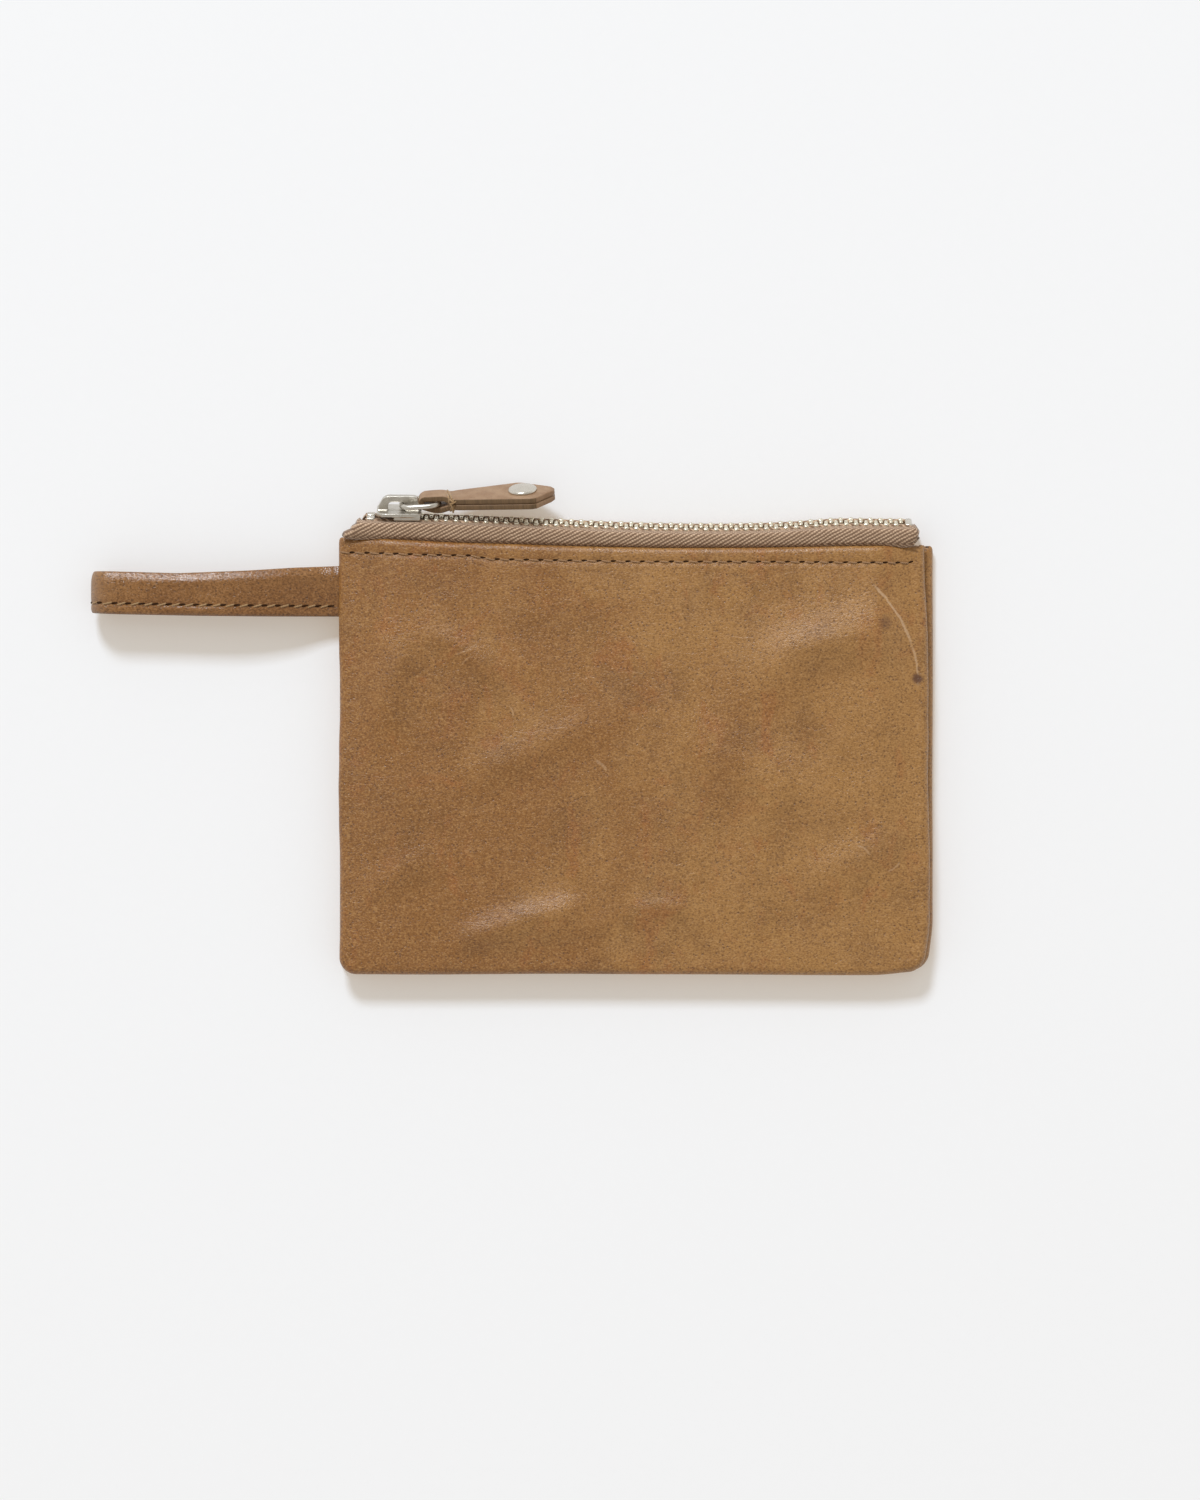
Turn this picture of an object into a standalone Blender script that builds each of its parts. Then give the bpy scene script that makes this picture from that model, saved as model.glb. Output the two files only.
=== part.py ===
"""A small zippered leather pouch with a finger loop, lying on its back panel.

Axes: +X runs along the zip, away from its closed end; +Y points from the bottom seam to the zip;
+Z points up out of the table. The origin is the centre of the back panel's resting face.
Two leather panels are sewn face to face round three sides and turned, so each panel's edge curls
inwards and ends in a seam allowance at the seam plane. The zip closes the fourth side.
"""

import math

import bmesh
import bpy
from mathutils import Matrix, Vector

MM = 0.001

# Driving sizes
BODY_WIDTH = 140 * MM
BODY_HEIGHT = 102.5 * MM
LEATHER = 1.2 * MM
LINING = 0.4 * MM
TAPE = 0.5 * MM
THREAD = 0.45 * MM
GAP = 0.3 * MM

# Turned seam
SEAM_GAP = 0.3 * MM
CURL_RADIUS = 1.725 * MM
SEAM_Z = 2 * CURL_RADIUS + SEAM_GAP / 2
ALLOWANCE = 6.5 * MM
CORNER_RADIUS = 4 * MM
DOME = 2.7 * MM
DOME_EDGE = 12 * MM

# Turned-in hem along the mouth
FOLD_RADIUS = 1.35 * MM
HEM_DEPTH = 9 * MM
HEM_HALF_WIDTH = 60 * MM
STITCH_INSET = 3.8 * MM

# Zip: its own frame has x along the chain, y out of its face and z across it
ZIP_TILT = math.radians(20)
ZIP_TURN = math.radians(-0.65)
ZIP_Y = BODY_HEIGHT / 2 + 4.6 * MM
ZIP_Z = 5.3 * MM
TOOTH_PITCH = 2.36 * MM
TEETH_START = -56.5 * MM
TEETH_COUNT = 51
TAPE_HALF_LENGTH = 66.5 * MM
TAPE_INNER_HALF = 62.5 * MM

# Slider, in the zip frame
SLIDER_X = -55.8 * MM
SLIDER_LENGTH = 10.6 * MM
SHOULDER_HALF_WIDTH = 3.9 * MM
TAIL_HALF_WIDTH = 3.5 * MM
PLATE_INNER = 1.45 * MM
PLATE_OUTER = 2.35 * MM

# Pull ring and leather pull, in the zip frame
RING_WIRE = 1.0 * MM
RING_LENGTH = 8.8 * MM
RING_WIDTH = 6.6 * MM
RING_CORNER = 1.7 * MM
RING_PIVOT = Vector((SLIDER_X + 0.55 * MM, 3.6 * MM, 0))
RING_SLOPE = math.radians(5)
PULL_PIVOT = RING_PIVOT + RING_LENGTH * Vector((math.cos(RING_SLOPE), math.sin(RING_SLOPE), 0))
PULL_YAW = math.radians(1)
PULL_ROLL = math.radians(3)
PULL_SLOPE = math.radians(4.2)
PULL_LEATHER = 1.35 * MM
PULL_LENGTH = 27.4 * MM
RIVET_X = 19.9 * MM

# Finger loop
STRAP_WIDTH = 10.6 * MM
STRAP_Y = 39.3 * MM
STRAP = 1.8 * MM
STRAP_TAIL = 1.4 * MM
STRAP_PIVOT_X = -BODY_WIDTH / 2 - 1.6 * MM
STRAP_START_X = STRAP_PIVOT_X - 1.5 * MM
STRAP_END_X = -129 * MM
STRAP_TOP_Z = 9.5 * MM

HALF_WIDTH = BODY_WIDTH / 2
BOTTOM_Y = -BODY_HEIGHT / 2
MOUTH_Y = BODY_HEIGHT / 2 - 0.2 * MM
PANEL_TOP_Y = MOUTH_Y - FOLD_RADIUS
STITCH_Y = MOUTH_Y - STITCH_INSET


def clear_scene():
    for obj in list(bpy.data.objects):
        bpy.data.objects.remove(obj)


def make_collection(name):
    collection = bpy.data.collections.new(name)
    bpy.context.scene.collection.children.link(collection)
    return collection


def make_material(name, colour, roughness, metallic=0.0):
    material = bpy.data.materials.new(name)
    material.use_nodes = True
    shader = material.node_tree.nodes["Principled BSDF"]
    shader.inputs["Base Color"].default_value = (*colour, 1)
    shader.inputs["Roughness"].default_value = roughness
    shader.inputs["Metallic"].default_value = metallic
    return material


clear_scene()
PARTS = make_collection("zippered_pouch")
CUTTERS = make_collection("cutters")

LEATHER_TAN = make_material("leather_tan", (0.33, 0.17, 0.07), 0.5)
PULL_TAN = make_material("pull_leather", (0.38, 0.23, 0.14), 0.6)
LINING_COTTON = make_material("lining_cotton", (0.52, 0.44, 0.33), 0.9)
ZIP_TAPE = make_material("zip_tape", (0.40, 0.26, 0.17), 0.85)
THREAD_TAN = make_material("thread_tan", (0.36, 0.20, 0.09), 0.7)
BRASS = make_material("pale_brass", (0.72, 0.62, 0.44), 0.35, 1.0)
NICKEL = make_material("satin_nickel", (0.60, 0.57, 0.52), 0.4, 1.0)


def add_object(name, data, material=None, parent=None, collection=None):
    obj = bpy.data.objects.new(name, data)
    (collection or PARTS).objects.link(obj)
    if material:
        data.materials.append(material)
    obj.parent = parent
    return obj


def add_cutter(name, data, parent=None):
    obj = add_object(name, data, parent=parent, collection=CUTTERS)
    obj.hide_render = True
    obj.display_type = "WIRE"
    return obj


def shade(mesh, angle=35):
    mesh.shade_smooth()
    mesh.set_sharp_from_angle(angle=math.radians(angle))


def boolean(obj, other, operation):
    modifier = obj.modifiers.new(operation.lower(), "BOOLEAN")
    modifier.operation = operation
    modifier.object = other


def solidify(obj, thickness, offset):
    modifier = obj.modifiers.new("thickness", "SOLIDIFY")
    modifier.thickness = thickness
    modifier.offset = offset
    modifier.use_even_offset = True


def bevel(obj, width, segments=2):
    modifier = obj.modifiers.new("rounded", "BEVEL")
    modifier.width = width
    modifier.segments = segments
    modifier.limit_method = "ANGLE"


def box_mesh(name, low, high):
    mesh = bpy.data.meshes.new(name)
    shape = bmesh.new()
    bmesh.ops.create_cube(shape, size=1)
    low, high = Vector(low), Vector(high)
    size = high - low
    bmesh.ops.scale(shape, vec=size, verts=shape.verts)
    bmesh.ops.translate(shape, vec=(low + high) / 2, verts=shape.verts)
    shape.to_mesh(mesh)
    shape.free()
    return mesh


def closed_mesh_of(curve_object):
    """The curve's evaluated mesh with its caps welded; the curve itself is removed."""
    graph = bpy.context.evaluated_depsgraph_get()
    mesh = bpy.data.meshes.new_from_object(curve_object.evaluated_get(graph))
    shape = bmesh.new()
    shape.from_mesh(mesh)
    bmesh.ops.remove_doubles(shape, verts=shape.verts, dist=0.001 * MM)
    shape.to_mesh(mesh)
    shape.free()
    bpy.data.objects.remove(curve_object)
    return mesh


def outline_mesh(name, points, half_depth):
    """A flat outline in the xy plane, extruded half_depth each way along z, as a closed mesh."""
    curve = bpy.data.curves.new(name, "CURVE")
    curve.dimensions = "2D"
    curve.fill_mode = "BOTH"
    curve.extrude = half_depth
    spline = curve.splines.new("POLY")
    spline.points.add(len(points) - 1)
    for point, (x, y) in zip(spline.points, points):
        point.co = (x, y, 0, 1)
    spline.use_cyclic_u = True
    return closed_mesh_of(add_object(name, curve, collection=CUTTERS))


def tube_curve(name, points, diameter, closed=False, bevel_resolution=2):
    curve = bpy.data.curves.new(name, "CURVE")
    curve.dimensions = "3D"
    curve.bevel_depth = diameter / 2
    curve.bevel_resolution = bevel_resolution
    curve.use_fill_caps = not closed
    spline = curve.splines.new("POLY")
    spline.points.add(len(points) - 1)
    for point, place in zip(spline.points, points):
        point.co = (*place, 1)
    spline.use_cyclic_u = closed
    return curve


def arc(centre, radius, start, end, steps):
    """Points on an arc from start to end degrees, both ends included."""
    angles = (math.radians(start + (end - start) * i / steps) for i in range(steps + 1))
    return [(centre[0] + radius * math.cos(a), centre[1] + radius * math.sin(a)) for a in angles]


def smooth_path(controls, steps):
    """A Catmull-Rom curve through the control points, with this many steps between each two."""
    ends = [2 * controls[0] - controls[1], *controls, 2 * controls[-1] - controls[-2]]
    points = []
    for a, b, c, d in zip(ends, ends[1:], ends[2:], ends[3:]):
        for i in range(steps):
            t = i / steps
            points.append(
                0.5
                * (
                    2 * b
                    + (c - a) * t
                    + (2 * a - 5 * b + 4 * c - d) * t * t
                    + (3 * b - a - 3 * c + d) * t**3
                )
            )
    return [*points, controls[-1]]


def smoothstep(t):
    t = min(max(t, 0), 1)
    return t * t * (3 - 2 * t)


# Leather panels

SIDE_POINTS = 10
CORNER_STEPS = 4
BOTTOM_STEPS = 10


def seam_outline(inset, top_y=PANEL_TOP_Y):
    """The three sewn sides in plan, from the top left corner round to the top right one."""
    half, bottom = HALF_WIDTH - inset, BOTTOM_Y + inset
    radius = max(CORNER_RADIUS - inset, 0.3 * MM)
    low = bottom + radius
    side = [
        (-half, top_y + (low - top_y) * i / (SIDE_POINTS - 1)) for i in range(SIDE_POINTS)
    ]
    corner = arc((-half + radius, low), radius, 180, 270, CORNER_STEPS)[1:-1]
    flat = half - radius
    bottom_row = [
        (-flat + 2 * flat * i / BOTTOM_STEPS, bottom) for i in range(BOTTOM_STEPS + 1)
    ]
    left = side + corner
    right = [(-x, y) for x, y in reversed(left)]
    return left + bottom_row + right


def front_height(x, y):
    """Height of the front panel's outer face inside the curled edge."""
    inner = HALF_WIDTH - CURL_RADIUS
    across = 1 - smoothstep((abs(x) - inner + DOME_EDGE) / DOME_EDGE)
    low = BOTTOM_Y + CURL_RADIUS
    along = 1 - (1 - (y - low) / (PANEL_TOP_Y - low)) ** 2.2 if y < PANEL_TOP_Y else 1
    return 2 * SEAM_Z + DOME * across * along


def back_height(x, y):
    return 0.0


def panel_surface(name, height, side):
    """The grain face of a panel as an open surface; side is +1 for the front and -1 for the back."""
    shape = bmesh.new()

    def ring(inset, z):
        return [shape.verts.new((x, y, z)) for x, y in seam_outline(inset)]

    middle_z = SEAM_Z + side * (SEAM_GAP / 2 + CURL_RADIUS)
    shoulder = [
        shape.verts.new((x, y, height(x, y))) for x, y in seam_outline(CURL_RADIUS)
    ]
    rings = [shoulder]
    for degrees in (60, 30, 0, -30, -60, -90):
        a = math.radians(degrees)
        inset = CURL_RADIUS * (1 - math.cos(a))
        rings.append(ring(inset, middle_z + side * CURL_RADIUS * math.sin(a)))
    rings.append(ring(ALLOWANCE, SEAM_Z + side * SEAM_GAP / 2))
    for outer, inner in zip(rings[1:], rings):
        for i in range(len(outer) - 1):
            shape.faces.new((outer[i], outer[i + 1], inner[i + 1], inner[i]))

    # The field between the shoulders: its last row is the shoulder along the bottom.
    rows = SIDE_POINTS + CORNER_STEPS // 2 - 1
    last = len(shoulder) - 1
    bottom_row = shoulder[rows : last - rows + 1]
    grid = []
    for j in range(rows):
        left, right = shoulder[j], shoulder[last - j]
        line = [left]
        for below in bottom_row[1:-1]:
            x = below.co.x / bottom_row[-1].co.x * right.co.x
            line.append(shape.verts.new((x, left.co.y, height(x, left.co.y))))
        grid.append([*line, right])
    grid.append(bottom_row)
    for upper, lower in zip(grid, grid[1:]):
        for i in range(len(upper) - 1):
            shape.faces.new((upper[i], lower[i], lower[i + 1], upper[i + 1]))

    # The hem turns over the mouth's edge and back down inside.
    edge = [v for v in grid[0] if abs(v.co.x) <= HEM_HALF_WIDTH]
    previous = edge
    turns = [(math.radians(d), FOLD_RADIUS) for d in (45, 0, -45, -90)]
    for a, radius in turns:
        line = [
            shape.verts.new(
                (
                    v.co.x,
                    PANEL_TOP_Y + radius * math.cos(a),
                    v.co.z - side * radius * (1 - math.sin(a)),
                )
            )
            for v in edge
        ]
        for i in range(len(edge) - 1):
            shape.faces.new((line[i], previous[i], previous[i + 1], line[i + 1]))
        previous = line
    line = [
        shape.verts.new((v.co.x, MOUTH_Y - HEM_DEPTH, v.co.z - side * 2 * FOLD_RADIUS))
        for v in edge
    ]
    for i in range(len(edge) - 1):
        shape.faces.new((line[i], previous[i], previous[i + 1], line[i + 1]))

    if side < 0:
        bmesh.ops.reverse_faces(shape, faces=shape.faces)
    mesh = bpy.data.meshes.new(name)
    shape.to_mesh(mesh)
    shape.free()
    mesh.shade_smooth()
    return mesh


def stitch_line(height, sink):
    """The row of top stitching along the mouth, sunk this far below the grain face."""
    steps = 14
    reach = HALF_WIDTH - CURL_RADIUS
    points = []
    for i in range(steps + 1):
        x = -reach + 2 * reach * i / steps
        points.append(Vector((x, STITCH_Y, height(x, STITCH_Y) + sink)))
    return points


def build_panel(name, height, side, strap_slot):
    panel = add_object(name, panel_surface(name, height, side), LEATHER_TAN)
    solidify(panel, LEATHER, -1)
    groove = tube_curve(name + "_groove", stitch_line(height, 0), 1.1 * MM)
    groove_object = add_object(name + "_groove", groove, collection=CUTTERS)
    boolean(panel, add_cutter(name + "_groove", closed_mesh_of(groove_object)), "DIFFERENCE")
    boolean(panel, strap_slot, "DIFFERENCE")
    return panel


def build_stitching(name, height, side):
    sink = -side * (THREAD / 2 + 0.02 * MM)
    points = stitch_line(height, sink)[1:-1]
    return add_object(name, tube_curve(name, points, THREAD), THREAD_TAN)


def build_seam_thread():
    """The lockstitch round the three turned sides, under the back panel's allowance."""
    inset = 3 * MM
    z = LEATHER + 0.4 * MM
    points = [(x, y, z) for x, y in seam_outline(inset, PANEL_TOP_Y - 2 * MM)]
    return add_object("seam_thread", tube_curve("seam_thread", points, THREAD), THREAD_TAN)


# Lining bag

LINING_HALF_WIDTH = HALF_WIDTH - ALLOWANCE - 0.7 * MM
LINING_LOW_Y = BOTTOM_Y + ALLOWANCE + 0.7 * MM
LINING_TOP_Y = MOUTH_Y - HEM_DEPTH - 0.4 * MM
LINING_SLACK = 0.7 * MM


def lining_rise(x, y):
    """0 along the lining's sewn edges and 1 over most of its field."""
    reach = LINING_TOP_Y - LINING_LOW_Y
    along = 1 - max((LINING_LOW_Y + reach / 2 - y) / (reach / 2), 0) ** 10
    return (1 - (abs(x) / LINING_HALF_WIDTH) ** 10) * along


def near_mouth(y):
    return smoothstep((y - LINING_TOP_Y) / (9 * MM) + 1)


def front_lining_height(x, y):
    low = SEAM_Z + SEAM_GAP / 2 + LINING
    high = front_height(x, y) - LEATHER - LINING_SLACK - 0.3 * MM * near_mouth(y)
    return low + (high - low) * lining_rise(x, y)


def back_lining_height(x, y):
    high = SEAM_Z - SEAM_GAP / 2 - LINING
    low = LEATHER + 0.35 * MM + 0.3 * MM * near_mouth(y)
    return high + (low - high) * lining_rise(x, y)


def build_lining(name, height, side):
    columns, rows = 16, 12
    shape = bmesh.new()
    bmesh.ops.create_grid(shape, x_segments=columns, y_segments=rows, size=1)
    for v in shape.verts:
        # Points gather towards the sewn edges, where the sheet turns.
        x = math.sin(v.co.x * math.pi / 2) * LINING_HALF_WIDTH
        t = math.sin(v.co.y * math.pi / 2)
        y = LINING_LOW_Y + (t + 1) / 2 * (LINING_TOP_Y - LINING_LOW_Y)
        v.co = (x, y, height(x, y))
    mesh = bpy.data.meshes.new(name)
    shape.to_mesh(mesh)
    shape.free()
    mesh.shade_smooth()
    lining = add_object(name, mesh, LINING_COTTON)
    solidify(lining, LINING, -side)
    return lining


# Zip tapes, teeth and stops


def zip_frame():
    frame = bpy.data.objects.new("zip_frame", None)
    PARTS.objects.link(frame)
    frame.location = (0, ZIP_Y, ZIP_Z)
    frame.rotation_euler = (ZIP_TILT, 0, ZIP_TURN)
    bpy.context.view_layer.update()
    return frame


def across_zip(x, v, w):
    """Where the chain is at x, a point v out of it and w across it, as (y, z) in the pouch."""
    c, s = math.cos(ZIP_TILT), math.sin(ZIP_TILT)
    return (ZIP_Y + x * math.tan(ZIP_TURN) + v * c - w * s, ZIP_Z + v * s + w * c)


def tape_profile(side, along):
    """The tape's middle line from the teeth to its inner edge, this far from its middle to an end."""
    flange = SHOULDER_HALF_WIDTH + GAP + TAPE / 2 + 0.1 * MM
    inner_y = MOUTH_Y - HEM_DEPTH
    x = along * TAPE_HALF_LENGTH
    start = across_zip(x, 0, side * 3.4 * MM)
    knee = across_zip(x, -0.25 * MM, side * flange)
    if side > 0:
        hem_top = front_height(along * TAPE_INNER_HALF, PANEL_TOP_Y)
        hem_z = hem_top - 2 * FOLD_RADIUS - GAP - TAPE / 2
        outside = [start, knee, across_zip(x, -2 * MM, flange + 0.1 * MM)]
        inside = [
            (PANEL_TOP_Y + 1.9 * MM, hem_z + 0.6 * MM),
            (PANEL_TOP_Y, hem_z),
            (inner_y, hem_z),
        ]
    else:
        hem_z = 2 * FOLD_RADIUS + GAP + TAPE / 2 + 0.05 * MM
        floor = TAPE / 2 + 0.02 * MM
        outside = [start, knee, (knee[0] - 1.2 * MM, floor), (knee[0] - 3.2 * MM, floor)]
        inside = [
            (PANEL_TOP_Y + 1.5 * MM, hem_z - 0.3 * MM),
            (PANEL_TOP_Y - 0.7 * MM, hem_z),
            (inner_y, hem_z),
        ]
    ends = [along * TAPE_HALF_LENGTH] * len(outside) + [along * TAPE_INNER_HALF] * len(inside)
    return [(x, y, z) for x, (y, z) in zip(ends, outside + inside)]


def build_tape(name, side):
    columns = 8
    shape = bmesh.new()
    lines = []
    for i in range(columns + 1):
        points = tape_profile(side, 2 * i / columns - 1)
        lines.append([shape.verts.new(point) for point in points])
    for a, b in zip(lines, lines[1:]):
        for i in range(len(a) - 1):
            shape.faces.new((a[i], a[i + 1], b[i + 1], b[i]))
    mesh = bpy.data.meshes.new(name)
    shape.to_mesh(mesh)
    shape.free()
    tape = add_object(name, mesh, ZIP_TAPE)
    solidify(tape, TAPE, 0)
    return tape


def build_teeth(name, side, frame):
    """One row of teeth with the cord bead that they are clamped on, as one body."""
    leg, head = 0.62 * MM, 0.46 * MM
    shift = 0 if side > 0 else TOOTH_PITCH / 2
    shape = bmesh.new()
    for i in range(TEETH_COUNT):
        x = TEETH_START + shift + i * TOOTH_PITCH
        outline = [
            (x - head, -0.7 * MM),
            (x + head, -0.7 * MM),
            (x + head, 1.1 * MM),
            (x + leg, 1.4 * MM),
            (x + leg, 2.9 * MM),
            (x - leg, 2.9 * MM),
            (x - leg, 1.4 * MM),
            (x - head, 1.1 * MM),
        ]
        bottom = [shape.verts.new((a, -1.2 * MM, side * w)) for a, w in outline]
        face = shape.faces.new(bottom)
        made = bmesh.ops.extrude_face_region(shape, geom=[face])["geom"]
        top = [v for v in made if isinstance(v, bmesh.types.BMVert)]
        bmesh.ops.translate(shape, vec=(0, 2.4 * MM, 0), verts=top)
    bmesh.ops.recalc_face_normals(shape, faces=shape.faces)
    mesh = bpy.data.meshes.new(name)
    shape.to_mesh(mesh)
    shape.free()
    teeth = add_object(name, mesh, BRASS, frame)
    last = TEETH_START + shift + (TEETH_COUNT - 1) * TOOTH_PITCH
    near, far = sorted((side * 1.7 * MM, side * 2.6 * MM))
    low = (TEETH_START + shift - 0.3 * MM, -0.45 * MM, near)
    high = (last + 0.3 * MM, 0.45 * MM, far)
    boolean(teeth, add_cutter(name + "_bead", box_mesh(name + "_bead", low, high), frame), "UNION")
    return teeth


def build_stop(name, low, high, frame):
    stop = add_object(name, box_mesh(name, low, high), NICKEL, frame)
    bevel(stop, 0.35 * MM)
    shade(stop.data)
    return stop


def build_stops(frame):
    x = SLIDER_X - SLIDER_LENGTH / 2 - 0.4 * MM
    for name, near, far in (("front_top_stop", 0.4, 2.9), ("back_top_stop", -2.9, -0.4)):
        low = (x - 1.9 * MM, -1.2 * MM, near * MM)
        build_stop(name, low, (x, 1.2 * MM, far * MM), frame)
    x = TEETH_START + TEETH_COUNT * TOOTH_PITCH + 0.6 * MM
    low, high = (x, -1.3 * MM, -2.4 * MM), (x + 2.2 * MM, 1.3 * MM, 2.4 * MM)
    build_stop("bottom_stop", low, high, frame)


# Slider


def plate_outline():
    """The slider's plate in plan: square shoulders at the mouth, narrower at the tail."""
    back, front = SLIDER_LENGTH / 2, -SLIDER_LENGTH / 2
    corner = 1.2 * MM
    return [
        (front + corner, -SHOULDER_HALF_WIDTH),
        (front + 4.2 * MM, -SHOULDER_HALF_WIDTH),
        (back - 0.6 * MM, -TAIL_HALF_WIDTH),
        (back, -TAIL_HALF_WIDTH + 0.6 * MM),
        (back, TAIL_HALF_WIDTH - 0.6 * MM),
        (back - 0.6 * MM, TAIL_HALF_WIDTH),
        (front + 4.2 * MM, SHOULDER_HALF_WIDTH),
        (front + corner, SHOULDER_HALF_WIDTH),
        (front, SHOULDER_HALF_WIDTH - corner),
        (front, -SHOULDER_HALF_WIDTH + corner),
    ]


def laid_flat(mesh, centre_y):
    """Turns an outline drawn in the xy plane so that it lies in the chain's plane."""
    mesh.transform(Matrix.Translation((0, centre_y, 0)) @ Matrix.Rotation(math.pi / 2, 4, "X"))
    return mesh


def bail_outline():
    """The slider's bridge seen from the side, with the x origin at the slider's middle."""
    base = PLATE_OUTER - 0.3 * MM
    top = 5.75 * MM
    return [
        (-5.1 * MM, base),
        (-4.9 * MM, 3.4 * MM),
        *arc((-2.3 * MM, 3.55 * MM), 2.2 * MM, 165, 90, 4),
        (2.6 * MM, top),
        *arc((3.3 * MM, 4.35 * MM), 1.4 * MM, 80, 0, 3),
        (4.9 * MM, base),
    ]


def bail_window():
    low, high = PLATE_OUTER + 0.1 * MM, 4.35 * MM
    return [
        (-2.7 * MM, low),
        (1.3 * MM, low),
        *arc((0.6 * MM, high - 0.7 * MM), 0.7 * MM, 0, 90, 2),
        *arc((-1.7 * MM, high - 1.0 * MM), 1.0 * MM, 90, 180, 3),
    ]


def build_slider(frame):
    half = (PLATE_OUTER - PLATE_INNER) / 2
    middle = (PLATE_OUTER + PLATE_INNER) / 2
    slider_mesh = laid_flat(outline_mesh("slider_body", plate_outline(), half), middle)
    slider = add_object("slider_body", slider_mesh, NICKEL, frame)
    lower_mesh = laid_flat(outline_mesh("lower_plate", plate_outline(), half), -middle)
    joined = [add_cutter("lower_plate", lower_mesh, frame)]

    # The wedge between the plates, which parts the two rows of teeth.
    diamond = [(-4.6, 0), (-3.2, -0.75), (-1.6, 0), (-3.2, 0.75)]
    points = [(x * MM, w * MM) for x, w in diamond]
    wedge = laid_flat(outline_mesh("wedge", points, PLATE_INNER + 0.3 * MM), 0)
    joined.append(add_cutter("wedge", wedge, frame))

    # Flanges that hold the teeth in, along the narrow part of the slider.
    for label, side, level in (
        ("front_upper", 1, 1),
        ("front_lower", 1, -1),
        ("back_upper", -1, 1),
        ("back_lower", -1, -1),
    ):
        w = sorted((side * 3.2 * MM, side * 3.45 * MM))
        v = sorted((level * 0.5 * MM, level * (PLATE_INNER + 0.2 * MM)))
        low, high = (-1.2 * MM, v[0], w[0]), (5.0 * MM, v[1], w[1])
        joined.append(add_cutter(label, box_mesh(label, low, high), frame))

    bail = add_cutter("bail", outline_mesh("bail", bail_outline(), 0.85 * MM), frame)
    window = add_cutter("window", outline_mesh("window", bail_window(), 2 * MM), frame)
    for piece in (slider, *joined, bail, window):
        piece.location.x = SLIDER_X
    boolean(bail, window, "DIFFERENCE")
    for piece in (*joined, bail):
        boolean(slider, piece, "UNION")
    return slider


# Pull ring, leather pull, its rivet and binding


def rounded_rectangle(half_x, half_z, radius, steps):
    points = []
    for x_side, z_side, start in ((1, 1, 0), (-1, 1, 90), (-1, -1, 180), (1, -1, 270)):
        centre = (x_side * (half_x - radius), z_side * (half_z - radius))
        points += arc(centre, radius, start, start + 90, steps)
    return points


def build_ring(frame):
    outline = rounded_rectangle(RING_LENGTH / 2, RING_WIDTH / 2, RING_CORNER, 4)
    points = [(x + RING_LENGTH / 2, 0, z) for x, z in outline]
    curve = tube_curve("pull_ring", points, RING_WIRE, closed=True)
    ring = add_object("pull_ring", curve, NICKEL, frame)
    ring.location = RING_PIVOT
    ring.rotation_euler = (0, 0, RING_SLOPE)
    return ring


def pull_frame(frame):
    """On the ring's outer bar; x runs down the pull, y out of its face."""
    empty = bpy.data.objects.new("pull_frame", None)
    PARTS.objects.link(empty)
    empty.parent = frame
    empty.location = PULL_PIVOT
    empty.rotation_mode = "QUATERNION"
    yaw = Matrix.Rotation(PULL_YAW, 3, "Y")
    slope = Matrix.Rotation(PULL_SLOPE, 3, "Z")
    roll = Matrix.Rotation(PULL_ROLL, 3, "X")
    empty.rotation_quaternion = (slope @ yaw @ roll).to_quaternion()
    bpy.context.view_layer.update()
    return empty


PULL_SLIT = 0.06 * MM
LOOP_INNER = 0.75 * MM
LOOP_LEFT = -2.6 * MM
LOOP_RIGHT = 0.9 * MM
NECK_CLOSED = 2.6 * MM


def pull_side_view():
    """The strip folded round the ring, seen from its edge: outer face, then inner face back."""
    outer = LOOP_INNER + PULL_LEATHER - 0.1 * MM
    flat = PULL_SLIT + PULL_LEATHER
    return [
        (PULL_LENGTH, flat),
        (NECK_CLOSED + 0.6 * MM, flat),
        (LOOP_RIGHT, outer),
        *arc((LOOP_LEFT, 0), outer, 90, 270, 8),
        (LOOP_RIGHT, -outer),
        (NECK_CLOSED + 0.6 * MM, -flat),
        (PULL_LENGTH, -flat),
        (PULL_LENGTH, -PULL_SLIT),
        (NECK_CLOSED, -PULL_SLIT),
        (LOOP_RIGHT, -LOOP_INNER),
        *arc((LOOP_LEFT, 0), LOOP_INNER, 270, 90, 8),
        (LOOP_RIGHT, LOOP_INNER),
        (NECK_CLOSED, PULL_SLIT),
        (PULL_LENGTH, PULL_SLIT),
    ]


def pull_plan():
    """The pull's outline: a narrow neck that widens to the rivet and ends in a blunt point."""
    points = [(-4, 2.6), (1.5, 2.6), (4, 3.2), (21.0, 5.8), (27.0, 1.3)]
    near = [(x * MM, w * MM) for x, w in points]
    far = [(x, -w) for x, w in reversed(near)]
    return near + far


def build_pull(frame):
    pull = add_object(
        "pull_leather", outline_mesh("pull_leather", pull_side_view(), 7 * MM), PULL_TAN, frame
    )
    plan_mesh = laid_flat(outline_mesh("pull_plan", pull_plan(), 4 * MM), 0)
    boolean(pull, add_cutter("pull_plan", plan_mesh, frame), "INTERSECT")
    hole = bpy.data.meshes.new("rivet_hole")
    shape = bmesh.new()
    bmesh.ops.create_cone(
        shape, cap_ends=True, segments=20, radius1=1.6 * MM, radius2=1.6 * MM, depth=8 * MM
    )
    shape.to_mesh(hole)
    shape.free()
    hole.transform(Matrix.Rotation(math.pi / 2, 4, "X"))
    cutter = add_cutter("rivet_hole", hole, frame)
    cutter.location = (RIVET_X, 0, 0)
    boolean(pull, cutter, "DIFFERENCE")
    return pull


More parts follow.
